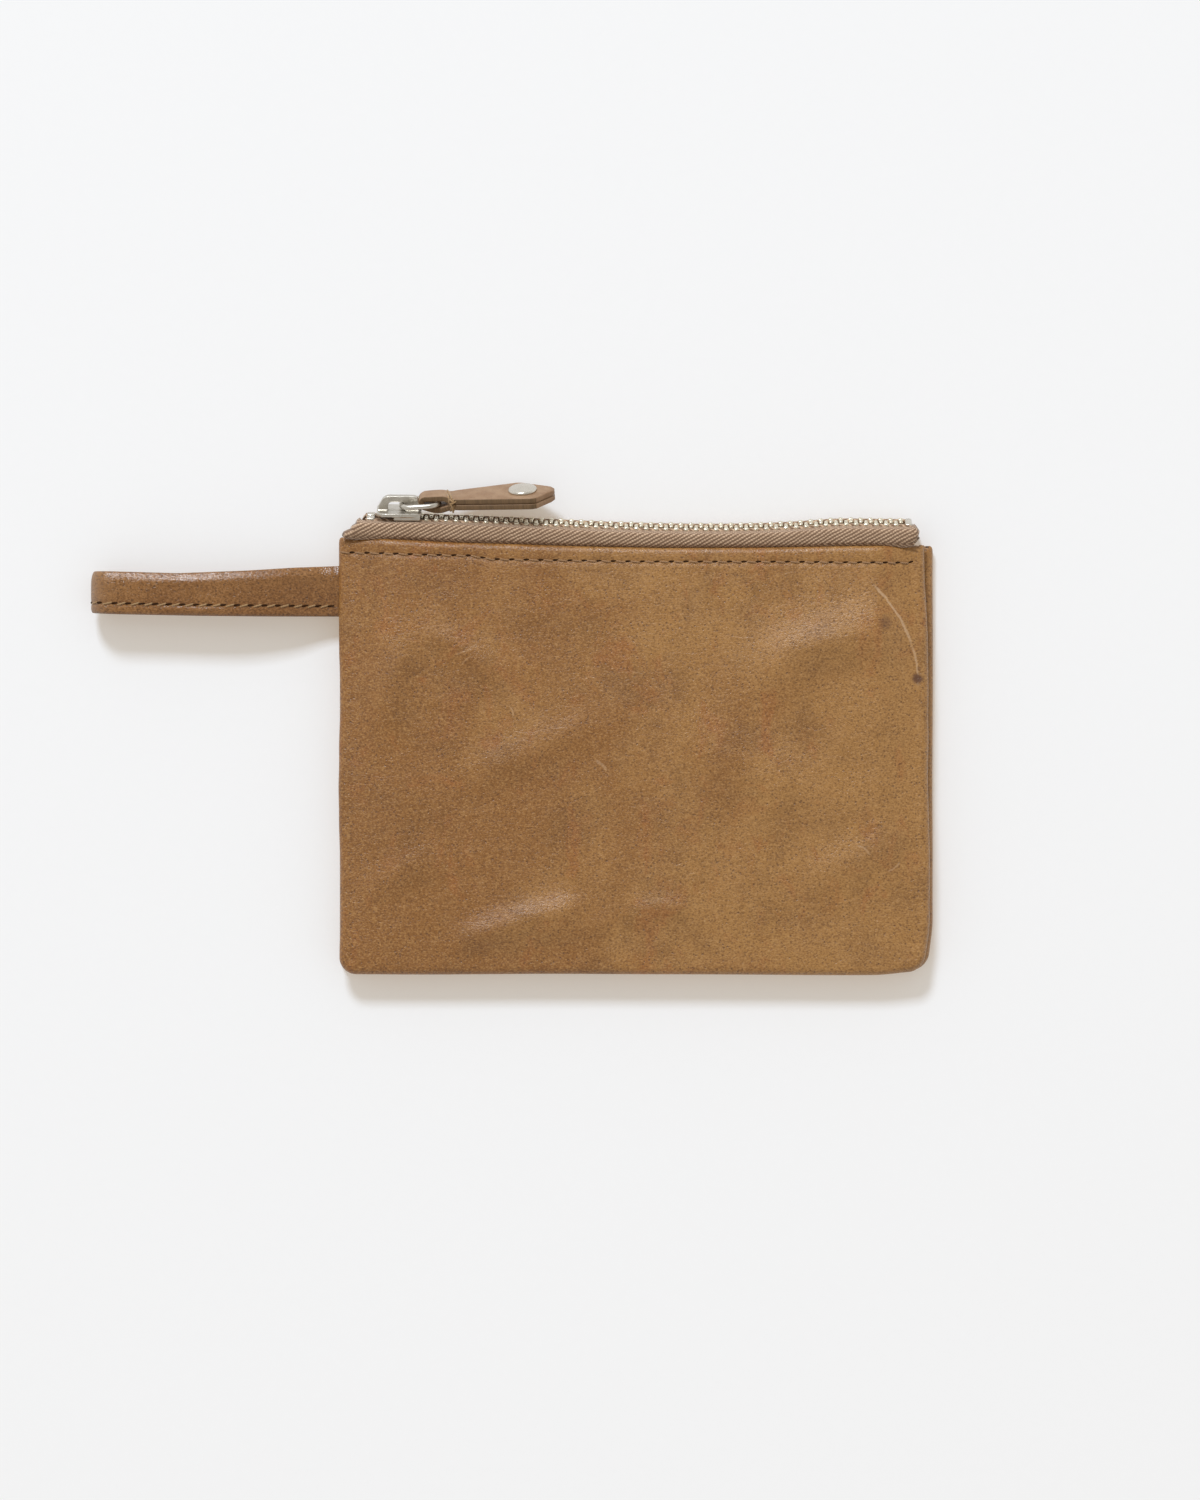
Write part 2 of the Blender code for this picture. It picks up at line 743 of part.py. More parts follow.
def turned(name, profile, material, frame, x):
    """A round piece: the profile of (radius, height) pairs runs down its outer side."""
    mesh = bpy.data.meshes.new(name)
    shape = bmesh.new()
    points = [shape.verts.new((r, 0, z)) for r, z in profile]
    for a, b in zip(points, points[1:]):
        shape.edges.new((a, b))
    shape.to_mesh(mesh)
    shape.free()
    piece = add_object(name, mesh, material, frame)
    piece.location = (x, 0, 0)
    piece.rotation_euler = (-math.pi / 2, 0, 0)
    screw = piece.modifiers.new("turned", "SCREW")
    screw.steps = 20
    screw.render_steps = 20
    screw.use_merge_vertices = True
    screw.merge_threshold = 0.00001
    screw.use_normal_calculate = True
    return piece


def build_rivet(frame):
    """A double-cap rivet: a domed cap on a stem, and a domed base whose tube takes the stem."""
    face = PULL_SLIT + PULL_LEATHER + 0.1 * MM
    cap = [
        (0, face + 1.05 * MM),
        (1.6 * MM, face + 0.95 * MM),
        (2.7 * MM, face + 0.6 * MM),
        (3.38 * MM, face + 0.15 * MM),
        (3.3 * MM, face),
        (0.9 * MM, face),
        (0.9 * MM, -face + 0.5 * MM),
        (0, -face + 0.5 * MM),
    ]
    turned("rivet_cap", cap, NICKEL, frame, RIVET_X)
    base = [
        (1.1 * MM, face - 0.3 * MM),
        (1.4 * MM, face - 0.3 * MM),
        (1.4 * MM, -face),
        (3.3 * MM, -face),
        (3.38 * MM, -face - 0.15 * MM),
        (2.7 * MM, -face - 0.45 * MM),
        (1.6 * MM, -face - 0.7 * MM),
        (0, -face - 0.8 * MM),
        (0, -face + 0.2 * MM),
        (1.1 * MM, -face + 0.2 * MM),
        (1.1 * MM, face - 0.3 * MM),
    ]
    turned("rivet_base", base, NICKEL, frame, RIVET_X)


def build_binding(frame):
    """Two and a half turns of thread that close the neck round the ring."""
    turns, steps = 2.5, 16
    half_v = PULL_SLIT + PULL_LEATHER + THREAD / 2 + 0.42 * MM
    half_w = 3.2 * MM + THREAD / 2 + 0.3 * MM
    points = []
    for i in range(int(turns * steps) + 1):
        a = 2 * math.pi * i / steps
        power = 0.35
        v = half_v * math.copysign(abs(math.sin(a)) ** power, math.sin(a))
        w = half_w * math.copysign(abs(math.cos(a)) ** power, math.cos(a))
        points.append((2.3 * MM + 0.62 * MM * a / (2 * math.pi), v, w))
    curve = tube_curve("pull_binding", points, THREAD, bevel_resolution=1)
    return add_object("pull_binding", curve, THREAD_TAN, frame)


# Finger loop


def strap_line():
    """The strap's middle line in the xz plane, out along the table and back above it."""
    low, high = STRAP / 2 + 0.06 * MM, STRAP_TOP_Z - STRAP / 2
    lift = STRAP_TAIL / 2 + SEAM_GAP
    bend = (high - low) / 2
    end_x = STRAP_END_X + STRAP / 2 + bend
    out = [
        Vector((STRAP_START_X, SEAM_Z - lift)),
        Vector((STRAP_START_X - 4 * MM, SEAM_Z - lift - 0.6 * MM)),
        Vector((STRAP_START_X - 11 * MM, low + 0.3 * MM)),
        Vector((STRAP_START_X - 18 * MM, low)),
        Vector((end_x, low)),
    ]
    turn = [Vector(p) for p in arc((end_x, low + bend), bend, 270, 90, 10)]
    back = [
        Vector((end_x + 0.1 * MM, high)),
        Vector((STRAP_START_X - 22 * MM, high)),
        Vector((STRAP_START_X - 11 * MM, high - 1.3 * MM)),
        Vector((STRAP_START_X - 4 * MM, SEAM_Z + lift + 0.9 * MM)),
        Vector((STRAP_START_X, SEAM_Z + lift)),
    ]
    return smooth_path(out, 4)[:-1] + turn + smooth_path(back[1:], 4)


def offset_line(line, distance):
    """The line moved sideways, to its left as it runs."""
    moved = []
    for i, point in enumerate(line):
        along = line[min(i + 1, len(line) - 1)] - line[max(i - 1, 0)]
        along.normalize()
        moved.append(point + distance * Vector((-along.y, along.x)))
    return moved


def strap_band(name, line, outer, inner, half_width, y):
    """A band along the line, between two distances from it, standing at this y."""
    outline = offset_line(line, outer) + list(reversed(offset_line(line, inner)))
    return upright(outline_mesh(name, [tuple(p) for p in outline], half_width), y)


def upright(mesh, y):
    """Turns an outline drawn in the xy plane so that it stands in the xz plane at this y."""
    mesh.transform(Matrix.Translation((0, y, 0)) @ Matrix.Rotation(math.pi / 2, 4, "X"))
    return mesh


def build_strap():
    line = strap_line()
    mesh = strap_band("strap_loop", line, STRAP / 2, -STRAP / 2, STRAP_WIDTH / 2, STRAP_Y)
    strap = add_object("strap_loop", mesh, LEATHER_TAN)
    stitch_y = STRAP_Y - STRAP_WIDTH / 2 + 2.8 * MM
    longer = [2 * line[0] - line[1], *line, 2 * line[-1] - line[-2]]
    groove = strap_band(
        "strap_groove", longer, STRAP / 2 + 0.5 * MM, STRAP / 2 - 0.6 * MM, 0.5 * MM, stitch_y
    )
    boolean(strap, add_cutter("strap_groove", groove), "DIFFERENCE")
    sunk = offset_line(line, STRAP / 2 - THREAD / 2 - 0.02 * MM)[1:-1]
    thread = [Vector((p.x, stitch_y, p.y)) for p in sunk]
    add_object("strap_stitching", tube_curve("strap_stitching", thread, THREAD), THREAD_TAN)

    # The two skived ends of the strip, sewn between the seam allowances.
    half = STRAP_TAIL + SEAM_GAP / 2
    low = (STRAP_PIVOT_X, STRAP_Y - STRAP_WIDTH / 2, SEAM_Z - half)
    high = (-HALF_WIDTH + ALLOWANCE - 0.5 * MM, STRAP_Y + STRAP_WIDTH / 2, SEAM_Z + half)
    add_object("strap_tail", box_mesh("strap_tail", low, high), LEATHER_TAN)
    slot_low = Vector(low) - Vector((1 * MM, GAP, GAP))
    slot_high = Vector(high) + Vector((2 * MM, GAP, GAP))
    return add_cutter("strap_slot", box_mesh("strap_slot", slot_low, slot_high))


def build_pouch():
    strap_slot = build_strap()
    build_panel("front_panel", front_height, 1, strap_slot)
    build_panel("back_panel", back_height, -1, strap_slot)
    build_stitching("front_top_stitching", front_height, 1)
    build_stitching("back_top_stitching", back_height, -1)
    build_seam_thread()
    build_lining("front_lining", front_lining_height, 1)
    build_lining("back_lining", back_lining_height, -1)
    build_tape("front_zip_tape", 1)
    build_tape("back_zip_tape", -1)
    frame = zip_frame()
    build_teeth("front_teeth", 1, frame)
    build_teeth("back_teeth", -1, frame)
    build_stops(frame)
    build_slider(frame)
    build_ring(frame)
    on_pull = pull_frame(frame)
    build_pull(on_pull)
    build_rivet(on_pull)
    build_binding(on_pull)


build_pouch()
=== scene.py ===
"""The look of the zippered pouch: its leather, zip, pull and finger loop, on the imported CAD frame.

Lengths are in metres and the frame is the CAD's: +X along the zip, +Y towards the zip, +Z up.
Each soft piece carries an attribute, "pattern", with its place in the cut piece in millimetres,
so that grain and weave stay put when the piece bends.
"""

import math

import bmesh
import bpy
import numpy as np
from mathutils import Matrix, Vector, noise


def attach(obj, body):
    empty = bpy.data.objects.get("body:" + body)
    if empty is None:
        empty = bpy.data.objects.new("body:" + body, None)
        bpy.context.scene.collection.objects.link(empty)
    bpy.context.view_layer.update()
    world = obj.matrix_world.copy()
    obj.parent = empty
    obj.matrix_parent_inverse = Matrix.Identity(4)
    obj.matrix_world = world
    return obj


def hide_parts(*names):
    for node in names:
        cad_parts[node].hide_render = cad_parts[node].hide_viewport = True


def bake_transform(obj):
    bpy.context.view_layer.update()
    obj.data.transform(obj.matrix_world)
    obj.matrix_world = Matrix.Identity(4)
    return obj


MM = 0.001

# Sizes shared with the CAD source
HALF_WIDTH = 70 * MM
BOTTOM_Y = -51.25 * MM
LEATHER = 1.2 * MM
CURL_RADIUS = 1.725 * MM
SEAM_GAP = 0.3 * MM
SEAM_Z = 3.6 * MM
ALLOWANCE = 6.5 * MM
CORNER_RADIUS = 4 * MM
DOME = 2.7 * MM
DOME_EDGE = 12 * MM
FOLD_RADIUS = 1.35 * MM
HEM_DEPTH = 9 * MM
MOUTH_Y = 51.05 * MM
PANEL_TOP_Y = MOUTH_Y - FOLD_RADIUS
FIELD_HALF = HALF_WIDTH - CURL_RADIUS
FIELD_LOW = BOTTOM_Y + CURL_RADIUS
ZIP_TILT = math.radians(20)
ZIP_TURN = math.radians(-0.65)
ZIP_Y = 55.85 * MM
ZIP_Z = 5.3 * MM
TOOTH_PITCH = 2.36 * MM
TEETH_START = -56.5 * MM
TEETH_COUNT = 51
TAPE = 0.5 * MM
SLIDER_X = -55.8 * MM
RING_LENGTH = 8.8 * MM
RING_WIDTH = 6.6 * MM
RING_SLOPE = math.radians(5)
PULL_SLOPE = math.radians(4.2)
PULL_YAW = math.radians(1)
PULL_ROLL = math.radians(3)
PULL_LEATHER = 1.35 * MM
PULL_SLIT = 0.06 * MM
PULL_LENGTH = 27.4 * MM
RIVET_X = 19.9 * MM
STRAP_PIVOT_X = -71.6 * MM
STRAP = 1.8 * MM
STRAP_TOP_Z = 9.5 * MM
STRAP_END_X = -129 * MM

# Stitching
TOP_PITCH = 3.42 * MM
STRAP_PITCH = 3.2 * MM
STRAP_STITCH = 2.35 * MM
THREAD = 0.48 * MM

# The camera looks straight down; its view has this height at the leather's own level
CAMERA_HEIGHT = 1.6
VIEW_HEIGHT = 0.3538

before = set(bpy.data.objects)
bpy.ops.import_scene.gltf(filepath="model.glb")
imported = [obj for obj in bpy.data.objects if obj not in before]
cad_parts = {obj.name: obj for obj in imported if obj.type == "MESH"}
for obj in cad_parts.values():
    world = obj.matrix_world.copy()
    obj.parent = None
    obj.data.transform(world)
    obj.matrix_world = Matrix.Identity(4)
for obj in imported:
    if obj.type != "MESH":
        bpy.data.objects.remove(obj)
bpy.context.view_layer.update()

ZIP = (
    Matrix.Translation((0, ZIP_Y, ZIP_Z))
    @ Matrix.Rotation(ZIP_TURN, 4, "Z")
    @ Matrix.Rotation(ZIP_TILT, 4, "X")
)
RING = (
    ZIP
    @ Matrix.Translation((SLIDER_X + 0.55 * MM, 3.6 * MM, 0))
    @ Matrix.Rotation(RING_SLOPE, 4, "Z")
)
PULL = (
    RING
    @ Matrix.Translation((RING_LENGTH, 0, 0))
    @ Matrix.Rotation(PULL_SLOPE - RING_SLOPE, 4, "Z")
    @ Matrix.Rotation(PULL_YAW, 4, "Y")
    @ Matrix.Rotation(PULL_ROLL, 4, "X")
)


# Materials


class Value:
    """A node's output, which arithmetic can be written with."""

    def __init__(self, paint, socket):
        self.paint, self.socket = paint, socket

    def __add__(self, other):
        return self.paint.math("ADD", self, other)

    def __sub__(self, other):
        return self.paint.math("SUBTRACT", self, other)

    def __rsub__(self, other):
        return self.paint.math("SUBTRACT", other, self)

    def __mul__(self, other):
        return self.paint.math("MULTIPLY", self, other)

    def __truediv__(self, other):
        return self.paint.math("DIVIDE", self, other)

    def __abs__(self):
        return self.paint.math("ABSOLUTE", self)


class Paint:
    """One node material. Each call adds a node and returns the value that comes out of it."""

    def __init__(self, name):
        self.material = bpy.data.materials.new(name)
        self.material.use_nodes = True
        self.tree = self.material.node_tree

    def feed(self, socket, value):
        if isinstance(value, Value):
            self.tree.links.new(value.socket, socket)
        else:
            socket.default_value = value

    def node(self, kind, inputs=(), output=0, **settings):
        made = self.tree.nodes.new("ShaderNode" + kind)
        for key, value in settings.items():
            setattr(made, key, value)
        for key, value in dict(inputs).items():
            self.feed(made.inputs[key], value)
        return Value(self, made.outputs[output])

    def finish(self, **values):
        """The material, with these inputs of its shader set."""
        shader = self.tree.nodes["Principled BSDF"]
        for key, value in values.items():
            self.feed(shader.inputs[key.replace("_", " ")], value)
        return self.material

    def pattern(self):
        """The place in the cut piece, in millimetres."""
        return self.node("Attribute", output="Vector", attribute_name="pattern")

    def local(self):
        """The piece's own coordinates in millimetres."""
        place = self.node("TexCoord", output="Object")
        return self.node("VectorMath", {0: place, "Scale": 1000}, operation="SCALE")

    def split(self, vector):
        parts = self.node("SeparateXYZ", {0: vector}).socket.node
        return [Value(self, socket) for socket in parts.outputs]

    def noise(self, place, scale, detail=2, roughness=0.5, distortion=0, stretch=None):
        if stretch:
            place = self.node("VectorMath", {0: place, 1: stretch}, operation="MULTIPLY")
        values = {"Vector": place, "Scale": scale, "Detail": detail}
        values |= {"Roughness": roughness, "Distortion": distortion}
        return self.node("TexNoise", values)

    def cells(self, place, scale, feature="F1"):
        values = {"Vector": place, "Scale": scale, "Randomness": 1.0}
        return self.node("TexVoronoi", values, output="Distance", feature=feature)

    def math(self, operation, a, b=0.0):
        return self.node("Math", {0: a, 1: b}, operation=operation)

    def waves(self, value, period):
        return self.math("SINE", value * (2 * math.pi / period))

    def fit(self, value, low, high, to_low=0.0, to_high=1.0, smooth=False):
        values = {0: value, 1: low, 2: high, 3: to_low, 4: to_high}
        kind = "SMOOTHSTEP" if smooth else "LINEAR"
        return self.node("MapRange", values, interpolation_type=kind)

    def mix(self, factor, a, b):
        made = self.tree.nodes.new("ShaderNodeMix")
        made.data_type = "RGBA"
        for index, value in ((0, factor), (6, a), (7, b)):
            self.feed(made.inputs[index], (*value, 1) if isinstance(value, tuple) else value)
        return Value(self, made.outputs[2])

    def tint(self, colour, over, value, low, high, strength=1.0, smooth=False):
        """colour with another over it, by nothing where value is low and by strength where high."""
        return self.mix(self.fit(value, low, high, 0, strength, smooth), colour, over)

    def bump(self, height, distance, strength, normal=None):
        values = {"Height": height, "Distance": distance, "Strength": strength}
        if normal:
            values["Normal"] = normal
        return self.node("Bump", values)


SCRATCHES = (
    # start, end, bow, width and strength of the front's pale lines, in millimetres
    ((55.6, 41.2), (65.4, 26.0), 1.1, 0.42, 0.62),
    ((65.3, 26.5), (66.7, 16.5), 0.35, 0.34, 0.5),
    ((-42.5, 24.2), (-37.0, 27.5), -0.4, 0.3, 0.25),
    ((-41.0, 21.8), (-38.6, 24.0), 0.3, 0.26, 0.22),
    ((52.0, -20.5), (55.5, -23.0), 0.3, 0.3, 0.3),
    ((59.5, -27.0), (62.5, -24.5), -0.3, 0.28, 0.3),
    ((-9.5, -0.5), (-6.8, -3.0), 0.2, 0.5, 0.3),
    ((-29.5, 12.0), (-28.8, 9.6), 0.1, 0.3, 0.3),
)
STAINS = (
    # middle, radius and strength of the front's dark spots, in millimetres
    ((66.6, 18.6), 1.7, 0.95),
    ((58.8, 31.8), 2.2, 0.5),
    ((66.9, 21.0), 0.7, 0.4),
)


def stroke(x, y, start, end, bow, width, wobble):
    """1 along a thin bowed line between two points (mm) of the cut piece, fading out at its ends."""
    fit = x.paint.fit
    along = Vector(end) - Vector(start)
    length = along.length
    along.normalize()
    dx, dy = x - start[0], y - start[1]
    t = (dx * along.x + dy * along.y) / length
    off = dy * along.x - dx * along.y - t * (1 - t) * (4 * bow)
    line = fit(abs(off + wobble), width * 0.35, width, 1, 0, smooth=True)
    return line * (fit(t, 0, 0.12) * fit(t, 0.85, 1, 1, 0))


def marked(paint, place, x, y, colour):
    """The colour with the front's scratches and stains over it."""
    wobble = paint.fit(paint.noise(place, 0.5, 3), 0, 1, -0.5, 0.5)
    for start, end, bow, width, strength in SCRATCHES:
        line = stroke(x, y, start, end, bow, width, wobble)
        colour = paint.mix(line * strength, colour, (0.56, 0.37, 0.215))
    for middle, radius, strength in STAINS:
        dx, dy = x - middle[0], y - middle[1]
        gone = paint.math("SQRT", dx * dx + dy * dy) + wobble
        spot = paint.fit(gone, radius * 0.3, radius, strength, 0, smooth=True)
        colour = paint.mix(spot, colour, (0.11, 0.045, 0.02))
    return colour


def leather_grain(paint, place):
    """The fine creased grain as a height from 0 to 1, and the pores as a mask."""
    lying = paint.noise(place, 2.3, 3, 0.6, 0.5, (0.85, 1.4, 1.0))
    pebbles = paint.cells(place, 2.1, "SMOOTH_F1")
    height = paint.fit(lying, 0.32, 0.68) * 0.65 + paint.fit(pebbles, 0.08, 0.7) * 0.35
    pit = paint.fit(paint.cells(place, 0.95), 0.12, 0.30, 1, 0, smooth=True)
    return height, pit * paint.fit(paint.noise(place, 0.12), 0.30, 0.55, 0.3, 1)


def panel_leather(name, back=False):
    paint = Paint(name)
    place = paint.pattern()
    x, y, _ = paint.split(place)
    height, pores = leather_grain(paint, place)
    broad = paint.noise(place, 0.026, 3, 0.55, 0.6) + paint.fit(x, -75, 65, -0.24, 0.22)
    middle = paint.noise(place, 0.085, 3, 0.6)
    small = paint.noise(place, 0.45, 3, 0.6)
    orange = paint.noise(place, 0.09, 4, 0.65, 0.8, (1.2, 0.8, 1.0))

    colour = paint.tint((0.252, 0.106, 0.024), (0.340, 0.166, 0.046), broad, 0.34, 0.66, smooth=True)
    colour = paint.tint(colour, (0.158, 0.065, 0.014), middle, 0.44, 0.72, 0.45, smooth=True)
    colour = paint.tint(colour, (0.300, 0.103, 0.022), orange, 0.53, 0.70, 0.6, smooth=True)
    colour = paint.tint(colour, (0.42, 0.23, 0.085), small, 0.5, 0.8, 0.3)
    colour = paint.tint(colour, (0.50, 0.28, 0.107), height, 0.52, 0.95, 0.6)
    colour = paint.tint(colour, (0.115, 0.045, 0.011), height, 0.50, 0.12, 0.7)
    colour = paint.mix(pores * 0.6, colour, (0.085, 0.031, 0.009))
    if not back:
        colour = marked(paint, place, x, y, colour)

    rough = paint.fit(paint.noise(place, 0.11, 3, 0.6), 0.3, 0.7, 0.27, 0.41)
    fine = paint.bump(height - pores * 0.8, 0.00009, 0.7)
    creases = paint.noise(place, 0.32, 4, 0.6, 1.2, (0.7, 1.5, 1.0))
    return paint.finish(
        Base_Color=colour,
        Roughness=rough + paint.fit(height, 0.3, 0.8, 0.05, -0.04),
        Normal=paint.bump(creases, 0.0005, 0.32, fine),
        Specular_IOR_Level=0.5,
    )


def strap_leather(name):
    """Glossier, redder pull-up leather; where the pattern's third value says it is bent, painted lighter
    for the light on the bend, and rougher.
    """
    paint = Paint(name)
    place = paint.pattern()
    bent = paint.split(place)[2]
    height, pores = leather_grain(paint, place)
    broad = paint.noise(place, 0.10, 3, 0.6, 0, (0.5, 1.0, 1.0))
    small = paint.noise(place, 0.8, 3, 0.6)
    colour = paint.tint((0.190, 0.078, 0.020), (0.250, 0.112, 0.032), broad, 0.35, 0.65, smooth=True)
    colour = paint.tint(colour, (0.36, 0.185, 0.070), small, 0.5, 0.78, 0.4)
    colour = paint.tint(colour, (0.080, 0.032, 0.010), height, 0.52, 0.15, 0.85)
    colour = paint.tint(colour, (0.42, 0.22, 0.085), height, 0.55, 0.95, 0.5)
    colour = paint.mix(pores * 0.6, colour, (0.08, 0.034, 0.014))
    # Painted light: the hairpin bend is painted a lighter tone for the light it catches.
    colour = paint.mix(bent * 0.6, colour, (0.27, 0.165, 0.090))
    fine = paint.bump(height - pores, 0.00008, 0.65)
    creases = paint.noise(place, 0.6, 3, 0.6, 0.8, (0.8, 1.6, 1.0))
    return paint.finish(
        Base_Color=colour,
        Roughness=paint.fit(paint.noise(place, 0.25, 3), 0.3, 0.7, 0.14, 0.25) + bent * 0.25,
        Normal=paint.bump(creases, 0.00028, 0.3, fine),
        Specular_IOR_Level=0.5,
    )


def pull_leather(name):
    """Matt, pinker leather with a smooth surface, as on the zip pull."""
    paint = Paint(name)
    place = paint.pattern()
    broad = paint.noise(place, 0.22, 3, 0.6)
    small = paint.noise(place, 1.4, 3, 0.6)
    height, pores = leather_grain(paint, place)
    colour = paint.tint((0.235, 0.130, 0.064), (0.315, 0.195, 0.108), broad, 0.3, 0.7, smooth=True)
    colour = paint.tint(colour, (0.44, 0.29, 0.185), small, 0.45, 0.8, 0.35)
    return paint.finish(
        Base_Color=paint.mix(pores * 0.35, colour, (0.14, 0.07, 0.035)),
        Roughness=paint.fit(small, 0.3, 0.7, 0.46, 0.6),
        Normal=paint.bump(height, 0.00005, 0.5),
        Specular_IOR_Level=0.4,
    )


def cut_edge(name, colour):
    """A raw or burnished leather edge, with its fibres in lighter and darker layers."""
    paint = Paint(name)
    fibre = paint.noise(paint.pattern(), 2.2, 4, 0.7, 0, (1.0, 1.0, 5.0))
    dark = tuple(c * 0.55 for c in colour)
    return paint.finish(
        Base_Color=paint.tint(dark, colour, fibre, 0.35, 0.68),
        Roughness=paint.fit(fibre, 0.3, 0.7, 0.55, 0.75),
        Normal=paint.bump(fibre, 0.0001, 0.5),
        Specular_IOR_Level=0.3,
    )


def herringbone(name):
    """Zip tape: pattern x runs along the tape and y across it, in bands of slanting yarns."""
    paint = Paint(name)
    place = paint.pattern()
    u, v, _ = paint.split(place)
    band = 5.4
    shake = paint.fit(paint.noise(place, 0.5, 3, 0.6), 0, 1, -0.5, 0.5)
    folded = paint.math("PINGPONG", v, band)
    yarn = paint.fit(paint.waves(u + folded * 1.9 + shake, 1.6), -0.75, 0.85)
    beads = paint.fit(paint.waves(u * 1.2 - v + shake, 1.0), -0.9, 0.8, 0.35, 1)
    seam = paint.fit(abs(folded - band / 2), band / 2 - 0.12, band / 2)
    height = yarn * beads - seam * 0.35
    fuzz = paint.noise(place, 3.0, 3, 0.7, 0, (1, 2.2, 1))
    light = paint.tint((0.52, 0.350, 0.222), (0.62, 0.435, 0.285), paint.noise(place, 0.25), 0.3, 0.7)
    colour = paint.tint((0.175, 0.098, 0.055), light, height, 0.08, 0.6)
    return paint.finish(
        Base_Color=paint.tint(colour, (0.74, 0.58, 0.45), fuzz, 0.5, 0.75, 0.35),
        Roughness=0.82,
        Normal=paint.bump(height + fuzz * 0.25, 0.00022, 0.8),
        Sheen_Weight=0.25,
        Sheen_Roughness=0.4,
        Specular_IOR_Level=0.25,
    )


def cotton(name):
    """Plain-woven lining."""
    paint = Paint(name)
    place = paint.pattern()
    u, v, _ = paint.split(place)
    weave = paint.fit(paint.waves(u, 0.5) * paint.waves(v, 0.5), -1, 1)
    slub = paint.noise(place, 0.8, 3, 0.6, 0, (0.3, 2.5, 1.0))
    colour = paint.tint((0.50, 0.42, 0.31), (0.60, 0.52, 0.40), slub, 0.3, 0.7)
    return paint.finish(
        Base_Color=paint.mix(weave * 0.3, colour, (0.36, 0.29, 0.20)),
        Roughness=0.9,
        Normal=paint.bump(weave, 0.0001, 0.6),
        Sheen_Weight=0.2,
        Specular_IOR_Level=0.2,
    )


def sewing_thread(name, colour):
    paint = Paint(name)
    fibre = paint.noise(paint.pattern(), 3.5, 3, 0.7)
    dark = tuple(c * 0.6 for c in colour)
    return paint.finish(
        Base_Color=paint.tint(dark, colour, fibre, 0.3, 0.7),
        Roughness=paint.fit(fibre, 0.3, 0.7, 0.5, 0.7),
        Normal=paint.bump(fibre, 0.00005, 0.5),
        Sheen_Weight=0.3,
    )


# Painted shade: the needle holes' near-black colour stands for the shade inside them.
def needle_hole_shade(name):
    paint = Paint(name)
    speck = paint.noise(paint.pattern(), 3)
    return paint.finish(
        Base_Color=paint.mix(speck, (0.020, 0.009, 0.004), (0.055, 0.024, 0.010)),
        Roughness=0.95,
        Specular_IOR_Level=0.05,
    )


def metal(name, bright, dull, rough, tarnish):
    """Plated metal with fine scuffs and a slight tarnish in patches."""
    paint = Paint(name)
    place = paint.local()
    scuffs = paint.noise(place, 3.0, 4, 0.7, 0, (1.0, 3.0, 2.0))
    colour = paint.tint(bright, dull, paint.noise(place, 0.5, 3, 0.6), 0.4, 0.75, tarnish)
    return paint.finish(
        Base_Color=paint.tint(colour, dull, scuffs, 0.52, 0.8, 0.35),
        Metallic=1.0,
        Roughness=paint.fit(scuffs, 0.3, 0.75, rough - 0.06, rough + 0.12),
        Normal=paint.bump(scuffs, 0.00003, 0.35),
    )


def paper_floor(name):
    paint = Paint(name)
    grain = paint.noise(paint.local(), 0.4, 3)
    return paint.finish(
        Base_Color=paint.mix(grain, (0.580, 0.642, 0.702), (0.590, 0.652, 0.712)),
        Emission_Color=(0.30, 0.235, 0.17, 1),
        Emission_Strength=1.0,
        Roughness=0.95,
        Specular_IOR_Level=0.0,
    )


THREAD_COLOUR = (0.36, 0.19, 0.075)
TAN = panel_leather("tan_leather")
TAN_BACK = panel_leather("tan_leather_back", back=True)
STRAP_TAN = strap_leather("strap_leather")
PULL_TAN = pull_leather("pull_leather_finish")
EDGE = cut_edge("cut_edge", (0.22, 0.12, 0.06))
PULL_EDGE = cut_edge("pull_edge", (0.20, 0.120, 0.058))
TAPE_CLOTH = herringbone("zip_tape_weave")
COTTON = cotton("lining_weave")
THREAD_TAN = sewing_thread("tan_thread", THREAD_COLOUR)
THREAD_GOLD = sewing_thread("gold_thread", (0.42, 0.25, 0.10))
HOLE_SHADE = needle_hole_shade("needle_hole_shade")
TEETH_METAL = metal("teeth_metal", (0.80, 0.745, 0.60), (0.46, 0.39, 0.27), 0.30, 0.45)
NICKEL = metal("satin_nickel", (0.61, 0.575, 0.51), (0.38, 0.35, 0.29), 0.30, 0.5)
RIVET_NICKEL = metal("rivet_nickel", (0.66, 0.62, 0.545), (0.48, 0.44, 0.37), 0.24, 0.35)


# Mesh helpers


def new_object(name, mesh, materials):
    obj = bpy.data.objects.new(name, mesh)
    bpy.context.scene.collection.objects.link(obj)
    for material in materials:
        mesh.materials.append(material)
    return obj


def new_piece(name, points, faces, *materials, pattern=None):
    """A smooth-shaded object; pattern is each vertex's place in the cut piece, in millimetres."""
    points = np.asarray(points, float).reshape(-1, 3)
    mesh = bpy.data.meshes.new(name)
    mesh.from_pydata(points.tolist(), [], [list(face) for face in faces])
    attribute = mesh.attributes.new("pattern", "FLOAT_VECTOR", "POINT")
    places = points / MM if pattern is None else pattern
    attribute.data.foreach_set("vector", np.asarray(places, np.float32).reshape(-1))
    mesh.shade_smooth()
    return new_object(name, mesh, materials)


def fitted(obj, node, body):
    """obj stands for a CAD node and rides on a body."""
    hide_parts(node)
    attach(obj, body)


def swept(rows):
    """Points and faces of closed sections, one after another, with both ends capped."""
    count = len(rows[0])
    faces = grid_faces(len(rows), count, around=True)
    faces.append(list(range(count)))
    faces.append([len(rows) * count - 1 - i for i in range(count)])
    return np.array(rows).reshape(-1, 3), faces


def turned_outward(obj):
    """Makes all faces look outward."""
    shape = bmesh.new()
    shape.from_mesh(obj.data)
    bmesh.ops.recalc_face_normals(shape, faces=shape.faces)
    shape.to_mesh(obj.data)
    shape.free()
    obj.data.shade_smooth()


